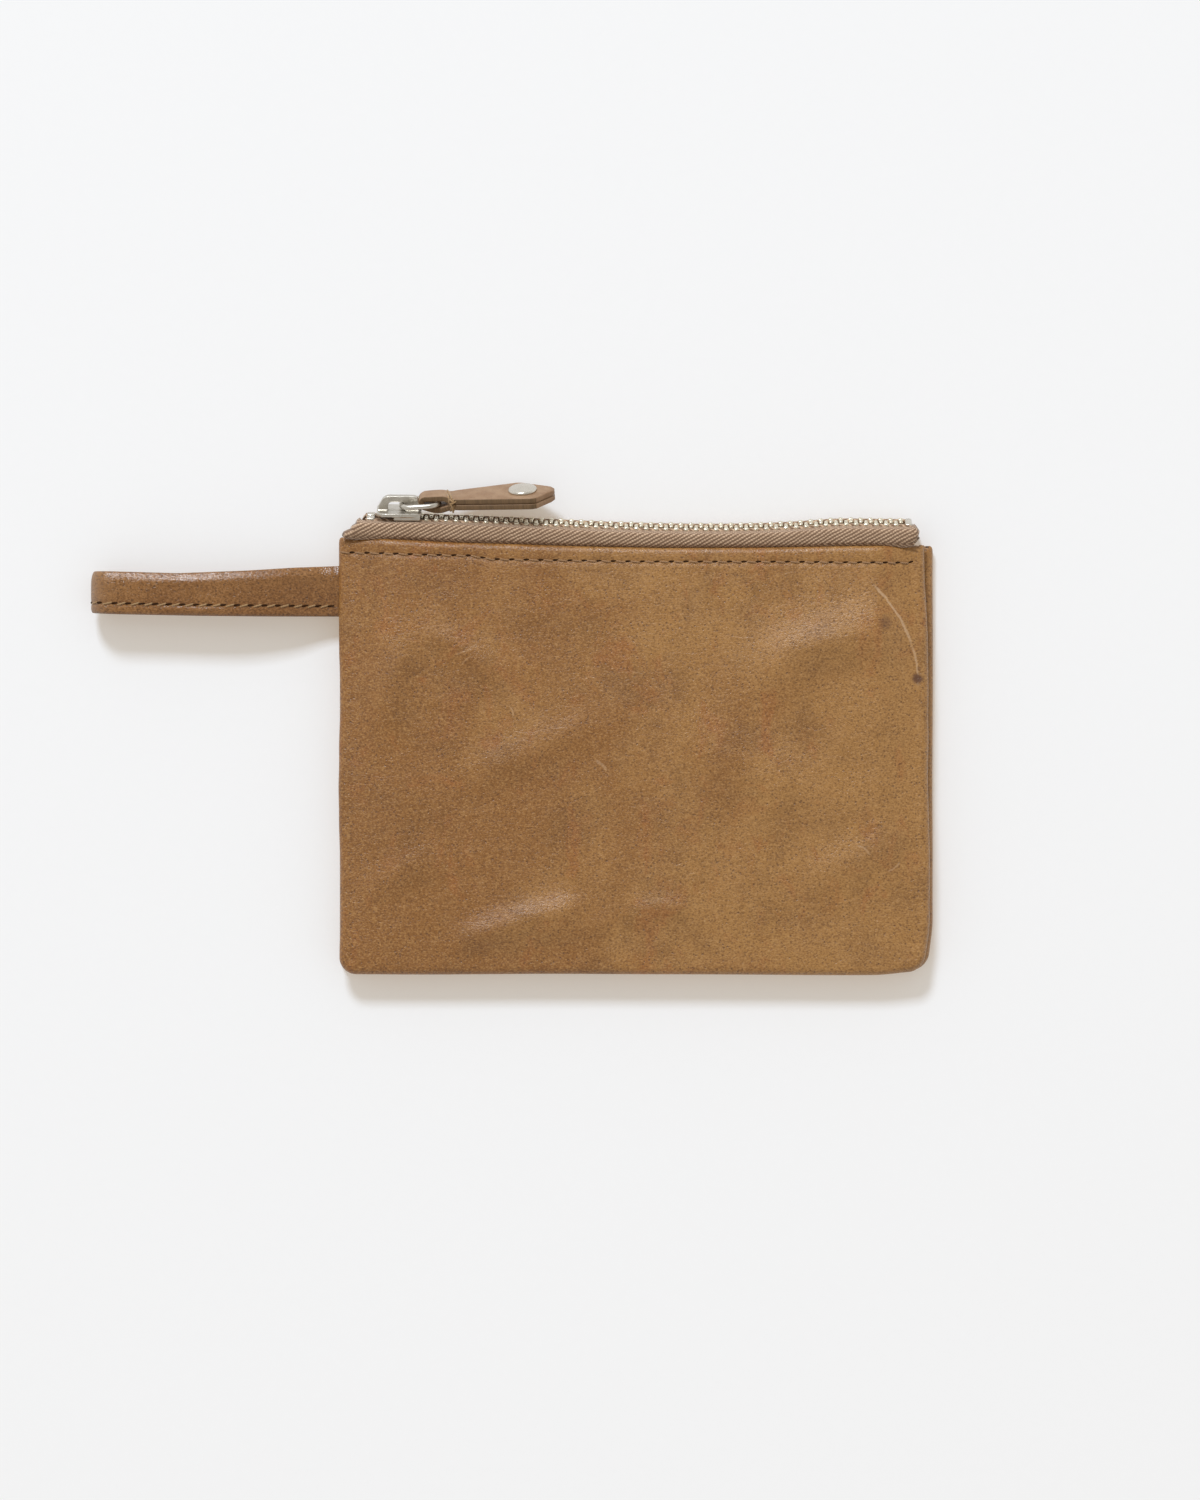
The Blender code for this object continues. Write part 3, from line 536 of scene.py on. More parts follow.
def grid_faces(rows, columns, around=False):
    """Quads over a grid of points stored row by row; around closes each row into a loop."""
    index = np.arange(rows * columns).reshape(rows, columns)
    if around:
        index = np.hstack([index, index[:, :1]])
    quads = np.stack([index[:-1, :-1], index[:-1, 1:], index[1:, 1:], index[1:, :-1]], -1)
    return quads.reshape(-1, 4).tolist()


def applied(obj):
    """Makes the object's modifiers part of its mesh."""
    graph = bpy.context.evaluated_depsgraph_get()
    mesh = bpy.data.meshes.new_from_object(obj.evaluated_get(graph))
    obj.modifiers.clear()
    obj.data = mesh


def solidified(obj, thickness, offset, rim=None):
    modifier = obj.modifiers.new("thickness", "SOLIDIFY")
    modifier.thickness = thickness
    modifier.offset = offset
    if rim is not None:
        modifier.material_offset_rim = rim
    applied(obj)


def placed(points, matrix):
    """Points of a local frame, moved to the pouch's frame."""
    points = np.asarray(points, float).reshape(-1, 3)
    rotation = np.array(matrix.to_3x3())
    return points @ rotation.T + np.array(matrix.translation)


def smoothstep(t):
    t = np.clip(t, 0, 1)
    return t * t * (3 - 2 * t)


def ramp(x, start, length):
    """0 up to start, then rising smoothly to 1 over a length."""
    return float(smoothstep((x - start) / length))


def bell(distance, width):
    """1 at no distance, falling smoothly away over a width."""
    return math.exp(-((distance / width) ** 2))


def table(x, at, values):
    """The value at x of a table in millimetres, straight between its points."""
    return float(np.interp(x / MM, at, values)) * MM


def along_path(path, i):
    """The direction of a path at its point i."""
    return (path[min(i + 1, len(path) - 1)] - path[max(i - 1, 0)]).normalized()


def gape(obj, anchors=None):
    """Bakes obj's transform into its mesh; nothing here makes it open with the mouth. anchors gives each
    vertex the x whose motion it follows; it is not used.
    """
    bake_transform(obj)
    if anchors is None:
        anchors = [v.co.x for v in obj.data.vertices]


def follow(obj, side, anchors=None):
    """The front's pieces have their transforms baked into their meshes, and the back's stay with the back.
    """
    if side > 0:
        gape(obj, anchors)
    else:
        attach(obj, "back")


def square_to(along):
    """A direction at a right angle to another."""
    axis = Vector((0, 0, 1)) if abs(along.z) < 0.8 else Vector((0, 1, 0))
    return along.cross(axis).normalized()


def tube(path, radius, sides, close=False):
    """Points and faces of a round tube along a path."""
    path = [Vector(p) for p in path]
    count = len(path)
    points = []
    normal = None
    for i, place in enumerate(path):
        before = path[i - 1] if i or close else path[0]
        after = path[(i + 1) % count] if i < count - 1 or close else path[-1]
        along = (after - before).normalized()
        if normal is None:
            normal = square_to(along)
        normal = (normal - along * normal.dot(along)).normalized()
        side = along.cross(normal)
        for k in range(sides):
            a = 2 * math.pi * k / sides
            points.append(place + radius * (math.cos(a) * normal + math.sin(a) * side))
    faces = grid_faces(count, sides, around=True)
    if close:
        last = (count - 1) * sides
        for k in range(sides):
            j = (k + 1) % sides
            faces.append([last + k, last + j, j, k])
    else:
        faces.append(list(range(sides - 1, -1, -1)))
        faces.append(list(range((count - 1) * sides, count * sides)))
    return [tuple(p) for p in points], faces


def merged(parts):
    """Joins (points, faces) pairs into one pair."""
    points, faces = [], []
    for some, quads in parts:
        first = len(points)
        points.extend(some)
        faces.extend([[first + i for i in face] for face in quads])
    return points, faces


def twisted(path, diameter):
    """A twisted thread along a path, as the tubes of its plies."""
    plies, lay = 2, 0.9 * MM
    path = [Vector(p) for p in path]
    lengths = [0.0]
    for a, b in zip(path, path[1:]):
        lengths.append(lengths[-1] + (b - a).length)
    parts = []
    for ply in range(plies):
        line = []
        for i, place in enumerate(path):
            along = along_path(path, i)
            normal = square_to(along)
            side = along.cross(normal)
            a = 2 * math.pi * (lengths[i] / lay + ply / plies)
            line.append(place + diameter * 0.24 * (math.cos(a) * normal + math.sin(a) * side))
        parts.append(tube(line, diameter * 0.29, 6))
    return merged(parts)


def lathe(profile, segments=48):
    """A turned piece about y from (radius, y) pairs; a radius of 0 closes it."""
    points, faces = [], []
    rows = []
    for radius, y in profile:
        if radius == 0:
            rows.append([len(points)] * segments)
            points.append((0, y, 0))
            continue
        row = []
        for k in range(segments):
            a = 2 * math.pi * k / segments
            row.append(len(points))
            points.append((radius * math.cos(a), y, radius * math.sin(a)))
        rows.append(row)
    for a, b in zip(rows, rows[1:]):
        for k in range(segments):
            j = (k + 1) % segments
            face = [a[k], a[j], b[j], b[k]]
            faces.append([v for i, v in enumerate(face) if v not in face[:i]])
    return points, faces


def arc(centre, radius, start, end, steps):
    angles = (math.radians(start + (end - start) * i / steps) for i in range(steps + 1))
    return [(centre[0] + radius * math.cos(a), centre[1] + radius * math.sin(a)) for a in angles]


def smooth_path(controls, steps):
    """A Catmull-Rom curve through the control points, with this many steps between each two."""
    controls = [Vector(p) for p in controls]
    ends = [2 * controls[0] - controls[1], *controls, 2 * controls[-1] - controls[-2]]
    points = []
    for a, b, c, d in zip(ends, ends[1:], ends[2:], ends[3:]):
        for i in range(steps):
            t = i / steps
            cubic = (3 * b - a - 3 * c + d) * t**3
            square = (2 * a - 5 * b + 4 * c - d) * t * t
            points.append(0.5 * (2 * b + (c - a) * t + square + cubic))
    return [*points, controls[-1]]


def rippled(x, y, seed, scale):
    """Smooth noise from -1 to 1 at a place; scale is features per metre."""
    return noise.noise(Vector((x * scale, y * scale, seed)))


# Leather panels

SIDE_ROWS = 120
CORNER_STEPS = 12
CURL_STEPS = 12


def mouth_edge(x):
    """How far the mouth's edge stands from its straight line at x: the leather dips between its ends."""
    at = [-70, -64, -58, -43, -28, -15, 5, 30, 50, 70]
    return table(x, at, [1.0, 0.8, 0.5, -0.3, -0.7, -1.15, -1.55, -1.5, -1.15, -0.9])


def stitch_y(x):
    """Where the top stitching runs at x."""
    at = [-70, -60, -50, -39, -34, -15, 0, 35, 50, 65, 70]
    return table(x, at, [48.45, 48.1, 47.75, 47.55, 46.7, 46.4, 46.15, 46.1, 45.95, 45.9, 46.5])


def domed(x, y):
    """Height of the front's dome over its flat seams, before any folds."""
    across = 1 - ramp(abs(x), FIELD_HALF - DOME_EDGE, DOME_EDGE)
    t = min(max((y - FIELD_LOW) / (PANEL_TOP_Y - FIELD_LOW), 0.0), 1.0)
    return 2 * SEAM_Z + DOME * across * (1 - (1 - t) ** 2.2)


def dipped(x, y):
    """A place in the straight panel, moved with the dip of its mouth."""
    return y + mouth_edge(x) * ramp(y, 18 * MM, PANEL_TOP_Y - 18 * MM)


RIDGES = (
    # start, end, bow, width, height: the folds and swellings of the front, in millimetres
    ((-47, -46), (-6, -34.5), 1.5, 3.6, 1.5),
    ((-30, -43), (-2, -37.5), -1.0, 2.4, 0.6),
    ((0, -36.2), (12, -36.0), 0.6, 2.2, 0.7),
    ((30, 20), (62, 32), 2.0, 7.0, 1.5),
    ((38, 27), (60, 25), 1.0, 3.5, 0.4),
    ((-47, 29), (-34, 20), 0.6, 3.0, 0.6),
    ((-62, 5), (-52, 30), 1.5, 5.0, 0.8),
    ((14, 5), (40, -8), -2.0, 7.0, 0.8),
    ((-40, -6), (-8, 8), 1.0, 4.5, 0.7),
    ((42, -30), (64, -20), 1.0, 4.5, 0.7),
    ((-66, -34), (-48, -24), 1.0, 3.5, 0.5),
)


def ridge_height(x, y):
    """The sum of the front's soft folds at a place, in metres."""
    total = 0.0
    x, y = x / MM, y / MM
    for (x0, y0), (x1, y1), bow, width, height in RIDGES:
        length = math.hypot(x1 - x0, y1 - y0)
        ax, ay = (x1 - x0) / length, (y1 - y0) / length
        t = ((x - x0) * ax + (y - y0) * ay) / length
        if -0.4 < t < 1.4:
            off = (y - y0) * ax - (x - x0) * ay - 4 * bow * t * (1 - t)
            end = max(0.0, abs(t - 0.5) - 0.22) * length / (1.7 * width)
            total += height * bell(off, width) * bell(end, 1)
    return total * MM


def front_surface(x, y):
    """Height of the front's grain face inside its curled edges."""
    inside = FIELD_HALF - abs(x)
    wave = 0.22 * MM * rippled(x, y, 3.1, 45) + 0.10 * MM * rippled(x, y, 7.7, 120)
    wave *= 1 - ramp(y, PANEL_TOP_Y - 6 * MM, 9 * MM)
    clear = ramp(inside, 0, 7 * MM) * ramp(y, FIELD_LOW, 6 * MM)
    pucker = 0.8 + 0.2 * math.cos(2 * math.pi * (x - 0.5 * TOP_PITCH) / TOP_PITCH)
    groove = 0.2 * MM * pucker * bell(dipped(x, y) - stitch_y(x), 0.7 * MM)
    height = domed(x, y) + clear * (wave + ridge_height(x, y))
    return height - ramp(inside, 0, 2.5 * MM) * groove


def back_surface(x, y):
    """Height of the back's grain face: flat where it rests, with the stitched line drawn in."""
    groove = 0.24 * MM * bell(dipped(x, y) - stitch_y(x), 0.55 * MM)
    return ramp(FIELD_HALF - abs(x), 0, 2.5 * MM) * groove


def panel_rows():
    """The straight sides' y values from the mouth down, closer together near the stitching."""
    t = np.linspace(0, 1, SIDE_ROWS)
    reach = PANEL_TOP_Y - BOTTOM_Y - CORNER_RADIUS
    return list(PANEL_TOP_Y - reach * (0.22 * t + 0.78 * t**2.2))


def panel_outline(inset, bottom_steps, shift):
    """The three sewn sides in plan from the top left corner round to the top right one."""
    half, bottom = HALF_WIDTH - inset, BOTTOM_Y + inset
    radius = max(CORNER_RADIUS - inset, 0.3 * MM)
    low = bottom + radius
    rows = panel_rows()
    top, base = rows[0], rows[-1]
    side = [(-half, low + (y - base) / (top - base) * (top - low)) for y in rows]
    corner = arc((-half + radius, low), radius, 180, 270, CORNER_STEPS)[1:-1]
    flat = half - radius
    bottom_row = [
        (-flat + 2 * flat * i / bottom_steps, bottom) for i in range(bottom_steps + 1)
    ]
    left = side + corner
    right = [(-x, y) for x, y in reversed(left)]
    return [shift(x, y) for x, y in left + bottom_row + right]


def rounder_corner(x, y):
    """The bottom right corner is rounder than the left one."""
    near = ramp(x, 56 * MM, 14 * MM) * ramp(-y, 38 * MM, 13 * MM)
    return x - 1.1 * MM * near, y + 0.8 * MM * near


def front_shift(x, y):
    """The front's edges wander a little, and its right side stands in from the back's near the mouth."""
    right, left = ramp(x, 50 * MM, 20 * MM), ramp(-x, 50 * MM, 20 * MM)
    inset = 0.75 * MM + 1.1 * MM * ramp(y, 22 * MM, 26 * MM)
    wander = 0.38 * MM * rippled(x, y, 1.3, 38) + 0.12 * MM * rippled(x, y, 4.3, 140)
    x, y = rounder_corner(x, y)
    x = x - right * inset + (left + right) * wander
    y = y + 0.25 * MM * rippled(x, y, 5.9, 30) * ramp(-y, 30 * MM, 20 * MM)
    return x, dipped(x, y)


def back_shift(x, y):
    """The back's right side stands out from the front's, and its bottom edge stands in a little."""
    wander = 0.2 * MM * rippled(x, y, 2.3, 38)
    right = ramp(x, 50 * MM, 20 * MM)
    x, y = rounder_corner(x, y)
    x = x + right * (0.35 * MM + wander)
    y = y + 0.3 * MM * ramp(-y, 30 * MM, 20 * MM)
    return x, dipped(x, y) + 0.15 * MM * rippled(x, 0, 4.2, 30)


def added(points, *place):
    """Adds a place to the points and gives its index."""
    points.append(place)
    return len(points) - 1


def turn_in(points, faces, top, curl, side, middle_z):
    """Turns the panel's top boundary in: its field becomes the hem, and its curled ends round over."""

    def bridge(line, previous, run):
        for i in run:
            faces.append([line[i], previous[i], previous[i + 1], line[i + 1]])

    last = len(top) - 1
    previous = top
    for turn in range(8):
        a = math.radians(90 - 22.5 * (turn + 1))
        line = []
        for i, v in enumerate(top):
            x, y, z = points[v]
            over = max(curl - i, i - (last - curl), 0)
            if over:
                # Beside the field the edge only rounds over, towards the curl's own middle.
                turned = min(turn + 1, 3) / 3
                nx, nz = math.copysign(FIELD_HALF, x) - x, middle_z - z
                inward = 0.35 * turned**2
                rise = FOLD_RADIUS * math.sin(turned * math.pi / 2) * (1 if over < 9 else 0.6)
                line.append(added(points, x + inward * nx, y + rise, z + inward * nz))
            else:
                fold = FOLD_RADIUS * (1 - math.sin(a))
                line.append(added(points, x, y + FOLD_RADIUS * math.cos(a), z - side * fold))
        bridge(line, previous, range(last) if turn < 3 else range(curl, last - curl))
        previous = line
    hem = range(curl + 6, last - curl - 5)
    for _ in range(6):
        line = list(previous)
        for i in hem:
            x, y, z = points[previous[i]]
            line[i] = added(points, x, y - HEM_DEPTH / 6, z)
        bridge(line, previous, hem[:-1])
        previous = line


def panel_surface(surface, side, bottom_steps, shift):
    """Points and faces of a panel's grain face, with its hem and seam allowances."""
    points, faces = [], []
    middle_z = SEAM_Z + side * (SEAM_GAP / 2 + CURL_RADIUS)
    plan = panel_outline(CURL_RADIUS, bottom_steps, lambda x, y: (x, y))
    shoulder = [added(points, *shift(x, y), surface(x, y)) for x, y in plan]
    rings = [shoulder]
    sections = []
    for step in range(1, CURL_STEPS + 1):
        a = math.radians(90 - 180 * step / CURL_STEPS)
        sections.append((CURL_RADIUS * (1 - math.cos(a)), middle_z + side * CURL_RADIUS * math.sin(a)))
    sections.append((ALLOWANCE, SEAM_Z + side * SEAM_GAP / 2))
    for inset, z in sections:
        outline = panel_outline(inset, bottom_steps, shift)
        rings.append([added(points, x, y, z) for x, y in outline])
    for inner, outer in zip(rings, rings[1:]):
        for i in range(len(outer) - 1):
            faces.append([outer[i], outer[i + 1], inner[i + 1], inner[i]])

    rows = SIDE_ROWS + CORNER_STEPS // 2 - 1
    last = len(shoulder) - 1
    bottom_row = shoulder[rows : last - rows + 1]
    grid = []
    for j in range(rows):
        y = plan[j][1]
        spread = plan[last - j][0] / plan[last - rows][0]
        line = [shoulder[j]]
        for k in range(1, len(bottom_row) - 1):
            x = plan[rows + k][0] * spread
            line.append(added(points, *shift(x, y), surface(x, y)))
        grid.append([*line, shoulder[last - j]])
    grid.append(bottom_row)
    for upper, lower in zip(grid, grid[1:]):
        for i in range(len(upper) - 1):
            faces.append([upper[i], lower[i], lower[i + 1], upper[i + 1]])

    left_run = [ring[0] for ring in reversed(rings[1:])]
    right_run = [ring[-1] for ring in rings[1:]]
    turn_in(points, faces, left_run + grid[0] + right_run, len(left_run), side, middle_z)
    if side < 0:
        faces = [list(reversed(face)) for face in faces]
    return points, faces


def build_panels():
    for name, surface, side, bottom_steps, shift, leather in (
        ("front", front_surface, 1, 250, front_shift, TAN),
        ("back", back_surface, -1, 160, back_shift, TAN_BACK),
    ):
        points, faces = panel_surface(surface, side, bottom_steps, shift)
        panel = new_piece(name + "_leather", points, faces, leather, EDGE)
        solidified(panel, LEATHER, -1, rim=1)
        panel.data.shade_smooth()
        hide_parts(name + "_panel")
        follow(panel, side)


# Stitching


def stitch_row(line, pitch, up, slant):
    """(anchor, thread) and (anchor, needle hole's painted shade) pairs along line(distance)'s (place, out,
    side).
    """
    threads, holes = [], []
    for i in range(int((line.stop - line.start) / pitch)):
        s = line.start + (i + 0.3) * pitch
        path = []
        for k in range(9):
            t = k / 8 * 2 - 1
            place, out, side = line(s + t * pitch * 0.32)
            sink = 0.30 * MM * abs(t) ** 3.5
            sway = slant * t * 0.14 * MM
            path.append(place + out * (up - sink) + side * sway)
        threads.append((s, twisted(path, THREAD)))
        place, out, side = line(s + pitch * 0.5)
        before = line(s + pitch * 0.5 - 0.1 * MM)[0]
        along = (place - before).normalized()
        holes.append((s, hole_shade_patch(place + side * 0.12 * MM, out, along)))
    return threads, holes


def hole_shade_patch(place, out, along):
    """A shallow lens of painted shade where the needle went through, a little different at every stitch."""
    vary = rippled(place.x * 37, place.y, 6.1, 60)
    along = (along + out.cross(along) * (0.14 + 0.12 * vary)).normalized()
    side = out.cross(along)
    long, wide = (0.80 + 0.14 * vary) * MM, (0.25 - 0.05 * vary) * MM
    points, faces = [], []
    for k in range(12):
        a = 2 * math.pi * k / 12
        reach = long * math.cos(a)
        spread = wide * (1 - 0.35 * math.cos(a)) * math.sin(a)
        points.append(place + along * reach + side * spread + out * 0.04 * MM)
        following = (k + 1) % 12
        faces += [[k, following, 12], [following, k, 13]]
    points += [place + out * 0.12 * MM, place - out * 0.2 * MM]
    return [tuple(p) for p in points], faces


class MouthLine:
    """The top stitching's line on a panel, by x."""

    def __init__(self, surface, side, shift):
        self.surface, self.side, self.shift = surface, side, shift
        self.start, self.stop = -69.5 * MM, 69.4 * MM

    def __call__(self, x):
        y = stitch_y(x)
        # The surface is drawn before its mouth dips, so the line is looked up undipped.
        straight = y - mouth_edge(x) * 0.98
        mx = self.shift(x, straight)[0]
        past = abs(x) - HALF_WIDTH + CURL_RADIUS
        if past < 0:
            z = self.surface(x, straight)
            return Vector((mx, y, z)), Vector((0, 0, self.side)), Vector((0, 1, 0))
        lean = math.asin(min(past / CURL_RADIUS, 1))
        z = SEAM_Z + self.side * (SEAM_GAP / 2 + CURL_RADIUS * (1 + math.cos(lean)))
        out = Vector((math.copysign(math.sin(lean), x), 0, self.side * math.cos(lean)))
        return Vector((mx, y, z)), out, Vector((0, 1, 0))


def gather(name, parts, material):
    """One object of several (anchor, (points, faces)) parts, and the anchor of each vertex."""
    anchors = [anchor for anchor, (points, _) in parts for _ in points]
    points, faces = merged([part for _, part in parts])
    # The weight of the pouch presses what is under it level with the table.
    points = [(x, y, max(z, 0.03 * MM)) for x, y, z in points]
    obj = new_piece(name, points, faces, material)
    return obj, anchors


def build_top_stitching():
    for name, surface, side, shift, up in (
        ("front", front_surface, 1, front_shift, 0.16 * MM),
        ("back", back_surface, -1, back_shift, 0.1 * MM),
    ):
        threads, holes = stitch_row(MouthLine(surface, side, shift), TOP_PITCH, up, -1)
        thread, thread_anchors = gather(name + "_top_thread", threads, THREAD_TAN)
        # The needle holes are dark patches of painted shade.
        hole, hole_anchors = gather(name + "_needle_hole_shades", holes, HOLE_SHADE)
        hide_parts(name + "_top_stitching")
        follow(thread, side, thread_anchors)
        follow(hole, side, hole_anchors)


# Zip


def zip_dip(x):
    """How far the chain hangs below its straight line at x, least where the slider stops."""
    at = [-70, -52, -40, -25, -15, -6, 3, 12, 22, 30, 37, 43, 46.5, 50, 66]
    drop = [0, 0, 0.25, 0.75, 1.1, 1.4, 1.6, 1.65, 1.55, 1.3, 0.9, 0.4, 0.1, 0, 0]
    return -table(x, at, drop)


def zip_point(x, v, w):
    """A point of the zip's frame in the pouch's, with the dip."""
    return ZIP @ Vector((x, v, w)) + Vector((0, zip_dip(x), 0))


def tape_section(x, side):
    """Middle line of a tape at x in the yz plane, from its corded edge to its inner edge."""
    flange = 4.55 * MM if side > 0 else 3.7 * MM
    start = zip_point(x, 0, side * 2.2 * MM)
    shoulder = zip_point(x, 0, side * (flange - 0.9 * MM))
    knee = zip_point(x, -0.25 * MM, side * flange)
    panel_top = PANEL_TOP_Y + mouth_edge(x)
    if side > 0:
        hem_z = front_surface(x, PANEL_TOP_Y) - 2 * FOLD_RADIUS - 0.55 * MM
        rim = panel_top + FOLD_RADIUS
        slack = max(knee.y - rim, 1.2 * MM)
        rest = [
            (rim + 0.55 * slack, knee.z - 0.1 * MM),
            (rim + 0.25 * slack, knee.z - 0.5 * MM),
            (rim - 0.1 * MM, knee.z - 1.6 * MM),
            (panel_top, hem_z),
        ]
    else:
        hem_z, floor = 3.3 * MM, 0.32 * MM
        rest = [
            (knee.y - 1.2 * MM, floor),
            (knee.y - 3.0 * MM, floor + 0.1 * MM),
            (panel_top + 1.5 * MM, hem_z - 0.4 * MM),
            (panel_top - 0.9 * MM, hem_z),
        ]
    line = [(p.y, p.z) for p in (start, shoulder, knee)] + rest
    line += [(45.5 * MM, hem_z), (42.05 * MM, hem_z)]
    return smooth_path([(0, *p) for p in line], 5)


TAPE_ENDS = {
    # by tape and end: how far the tape reaches, by its height above the mouth's rim, both in mm
    (1, "right"): ([0.5, 1.5, 2.7, 4.0, 5.2], [65.8, 66.8, 67.1, 66.4, 65.2]),
    (-1, "right"): ([0.5, 2.0, 4.0, 6.0], [66.0, 67.3, 67.0, 65.4]),
    (1, "left"): ([0.5, 0.9, 1.3, 2.0, 2.6, 3.4, 4.5], [69.2, 68.5, 67.5, 67.2, 66.3, 66.0, 65.0]),
    (-1, "left"): ([0.5, 2.0, 4.0, 6.0], [66.6, 66.0, 65.4, 64.3]),
}


def tape_reach(above, side, end_name):
    """How far the tape runs to its end, at this height above the rim of the mouth."""
    end = table(above, *TAPE_ENDS[side, end_name])
    # Between the seams of the pouch the tape is narrower.
    return end + (62.5 * MM - end) * ramp(-above, -0.3 * MM, 1.2 * MM)


def tape_line(s, side):
    """A tape's points across it, at a share s of its half length, and their places in the cut tape."""
    line, places = [], []
    gone = 0.0
    rim = MOUTH_Y + mouth_edge(s * 66 * MM)
    sample = tape_section(s * 64 * MM, side)
    for i, near in enumerate(sample):
        t = i / (len(sample) - 1)
        end = tape_reach(near.y - rim, side, "right" if s > 0 else "left")
        x = s * end
        section = tape_section(x, side)
        _, y, z = section[i]
        if i:
            gone += (section[i] - section[i - 1]).length
        rolled = max(abs(x) - (end - 1.3 * MM), 0)
        if rolled > 0 and t < 0.55:
            # The last of the tape curls down towards the middle of the chain.
            a = rolled / (1.3 * MM) * 1.45
            x = math.copysign(end - 1.3 * MM + 0.95 * MM * math.sin(a), x)
            fall = 2.3 * MM * (1 - math.cos(a)) * (1 - 0.4 * t)
            y += side * fall * math.sin(ZIP_TILT)
            z -= side * fall * math.cos(ZIP_TILT)
        # Short pleats in the gathered left end.
        crease = math.sin(2 * math.pi * (x + 0.4 * (y - 54 * MM)) / (2.1 * MM))
        pleat = 0.22 * MM * crease * ramp(-x, 62 * MM, 4 * MM) * ramp(-t, -0.55, 0.2)
        line.append((x, y, max(z + pleat, TAPE)))
        places.append((s * end / MM, gone / MM, side))
    return line, places


def build_tape(name, side):
    """The tape, with its ends turned in towards the other tape's."""
    rows = [tape_line(s, side) for s in np.linspace(-1, 1, 181)]
    faces = grid_faces(len(rows), len(rows[0][0]))
    if side < 0:
        faces = [list(reversed(face)) for face in faces]
    points, pattern = [row[0] for row in rows], [row[1] for row in rows]
    tape = new_piece(name, points, faces, TAPE_CLOTH, pattern=pattern)
    solidified(tape, TAPE, 0)
    return tape


def rounded_block(low, high, radius):
    """Points and faces of a box with rounded edges."""
    shape = bmesh.new()
    bmesh.ops.create_cube(shape, size=1)
    low, high = Vector(low), Vector(high)
    bmesh.ops.scale(shape, vec=high - low, verts=shape.verts)
    bmesh.ops.translate(shape, vec=(low + high) / 2, verts=shape.verts)
    bmesh.ops.bevel(
        shape, geom=shape.edges[:], offset=radius, segments=3, profile=0.5, affect="EDGES"
    )
    shape.verts.index_update()
    points = [tuple(v.co) for v in shape.verts]
    faces = [[v.index for v in f.verts] for f in shape.faces]
    shape.free()
    return points, faces


def tooth_shape(side):
    """One zip tooth at x 0: legs clamped on the cord, a narrower head, and the nub on its face."""
    parts = []
    for half_x, bottom, top, inner, outer, radius in (
        (0.60, -1.0, 0.84, 1.25, 2.55, 0.36),
        (0.44, -0.9, 0.74, -0.6, 1.5, 0.26),
    ):
        near, far = sorted((side * inner, side * outer))
        low, high = Vector((-half_x, bottom, near)), Vector((half_x, top, far))
        parts.append(rounded_block(low * MM, high * MM, radius * MM))
    points, faces = lathe([(0, 0.17 * MM), (0.2 * MM, 0.12 * MM), (0.34 * MM, 0)], 12)
    centre = Vector((0, 0.72 * MM, -side * 0.05 * MM))
    parts.append(([tuple(Vector(p) + centre) for p in points], faces))
    return merged(parts)


def build_teeth(name, side):
    points, faces = tooth_shape(side)
    shape = np.array(points)
    first = TEETH_START + (0 if side > 0 else TOOTH_PITCH / 2)
    parts = []
    for i in range(TEETH_COUNT):
        x = first + i * TOOTH_PITCH
        turn = np.array(Matrix.Rotation(0.05 * rippled(i * 0.37, side, 1.7, 1.0), 3, "Y"))
        moved = placed(shape @ turn.T + np.array((x, 0, 0)), ZIP)
        moved[:, 1] += zip_dip(x)
        parts.append((float(moved[:, 0].mean()), ([tuple(p) for p in moved], faces)))
    return gather(name, parts, TEETH_METAL)


def build_cord(name, side):
    """The corded edge of the tape, which the teeth are clamped on."""
    path = [zip_point(x, -0.1 * MM, side * 1.9 * MM) for x in np.linspace(-63.8 * MM, 65.2 * MM, 150)]
    points, faces = tube(path, 0.74 * MM, 10)
    places = [(x / MM, z / MM, 0) for x, _, z in points]
    cord = new_piece(name, points, faces, TAPE_CLOTH, pattern=places)
    return cord


def clamped_stop(name, low, high, radius):
    """A rounded block, in the zip's frame, with a crimp across its face; and its anchors."""
    points, faces = rounded_block(low, high, radius)
    middle = (Vector(low) + Vector(high)) / 2
    half = (Vector(high) - Vector(low)) / 2
    moved = []
    for x, y, z in points:
        dent = 0.25 * MM * bell(z - middle.z, 0.3 * half.z)
        moved.append((x, y - math.copysign(dent, y - middle.y), z))
    part = ([tuple(p) for p in placed(moved, ZIP)], faces)
    return gather(name, [(high[0], part)], RIVET_NICKEL)


def build_stops():
    x = SLIDER_X - 5.7 * MM
    for name, side in (("front", 1), ("back", -1)):
        near, far = sorted((side * 0.35 * MM, side * 2.5 * MM))
        low, high = (x - 2.0 * MM, -1.0 * MM, near), (x, 0.85 * MM, far)
        stop, anchors = clamped_stop(name + "_stop", low, high, 0.4 * MM)
        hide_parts(name + "_top_stop")
        follow(stop, side, anchors)
    x = TEETH_START + TEETH_COUNT * TOOTH_PITCH - 0.25 * MM
    low, high = (x, -1.1 * MM, -2.4 * MM), (x + 1.7 * MM, 0.8 * MM, 2.3 * MM)
    stop, _ = clamped_stop("end_stop", low, high, 0.45 * MM)
    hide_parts("bottom_stop")
    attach(stop, "back")


def build_zip():
    for name, side in (("front", 1), ("back", -1)):
        tape = build_tape(name + "_tape", side)
        teeth, anchors = build_teeth(name + "_teeth_row", side)
        cord = build_cord(name + "_tape_cord", side)
        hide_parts(name + "_zip_tape")
        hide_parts(name + "_teeth")
        follow(tape, side)
        follow(cord, side)
        follow(teeth, side, anchors)
    build_stops()


# Slider, ring and pull


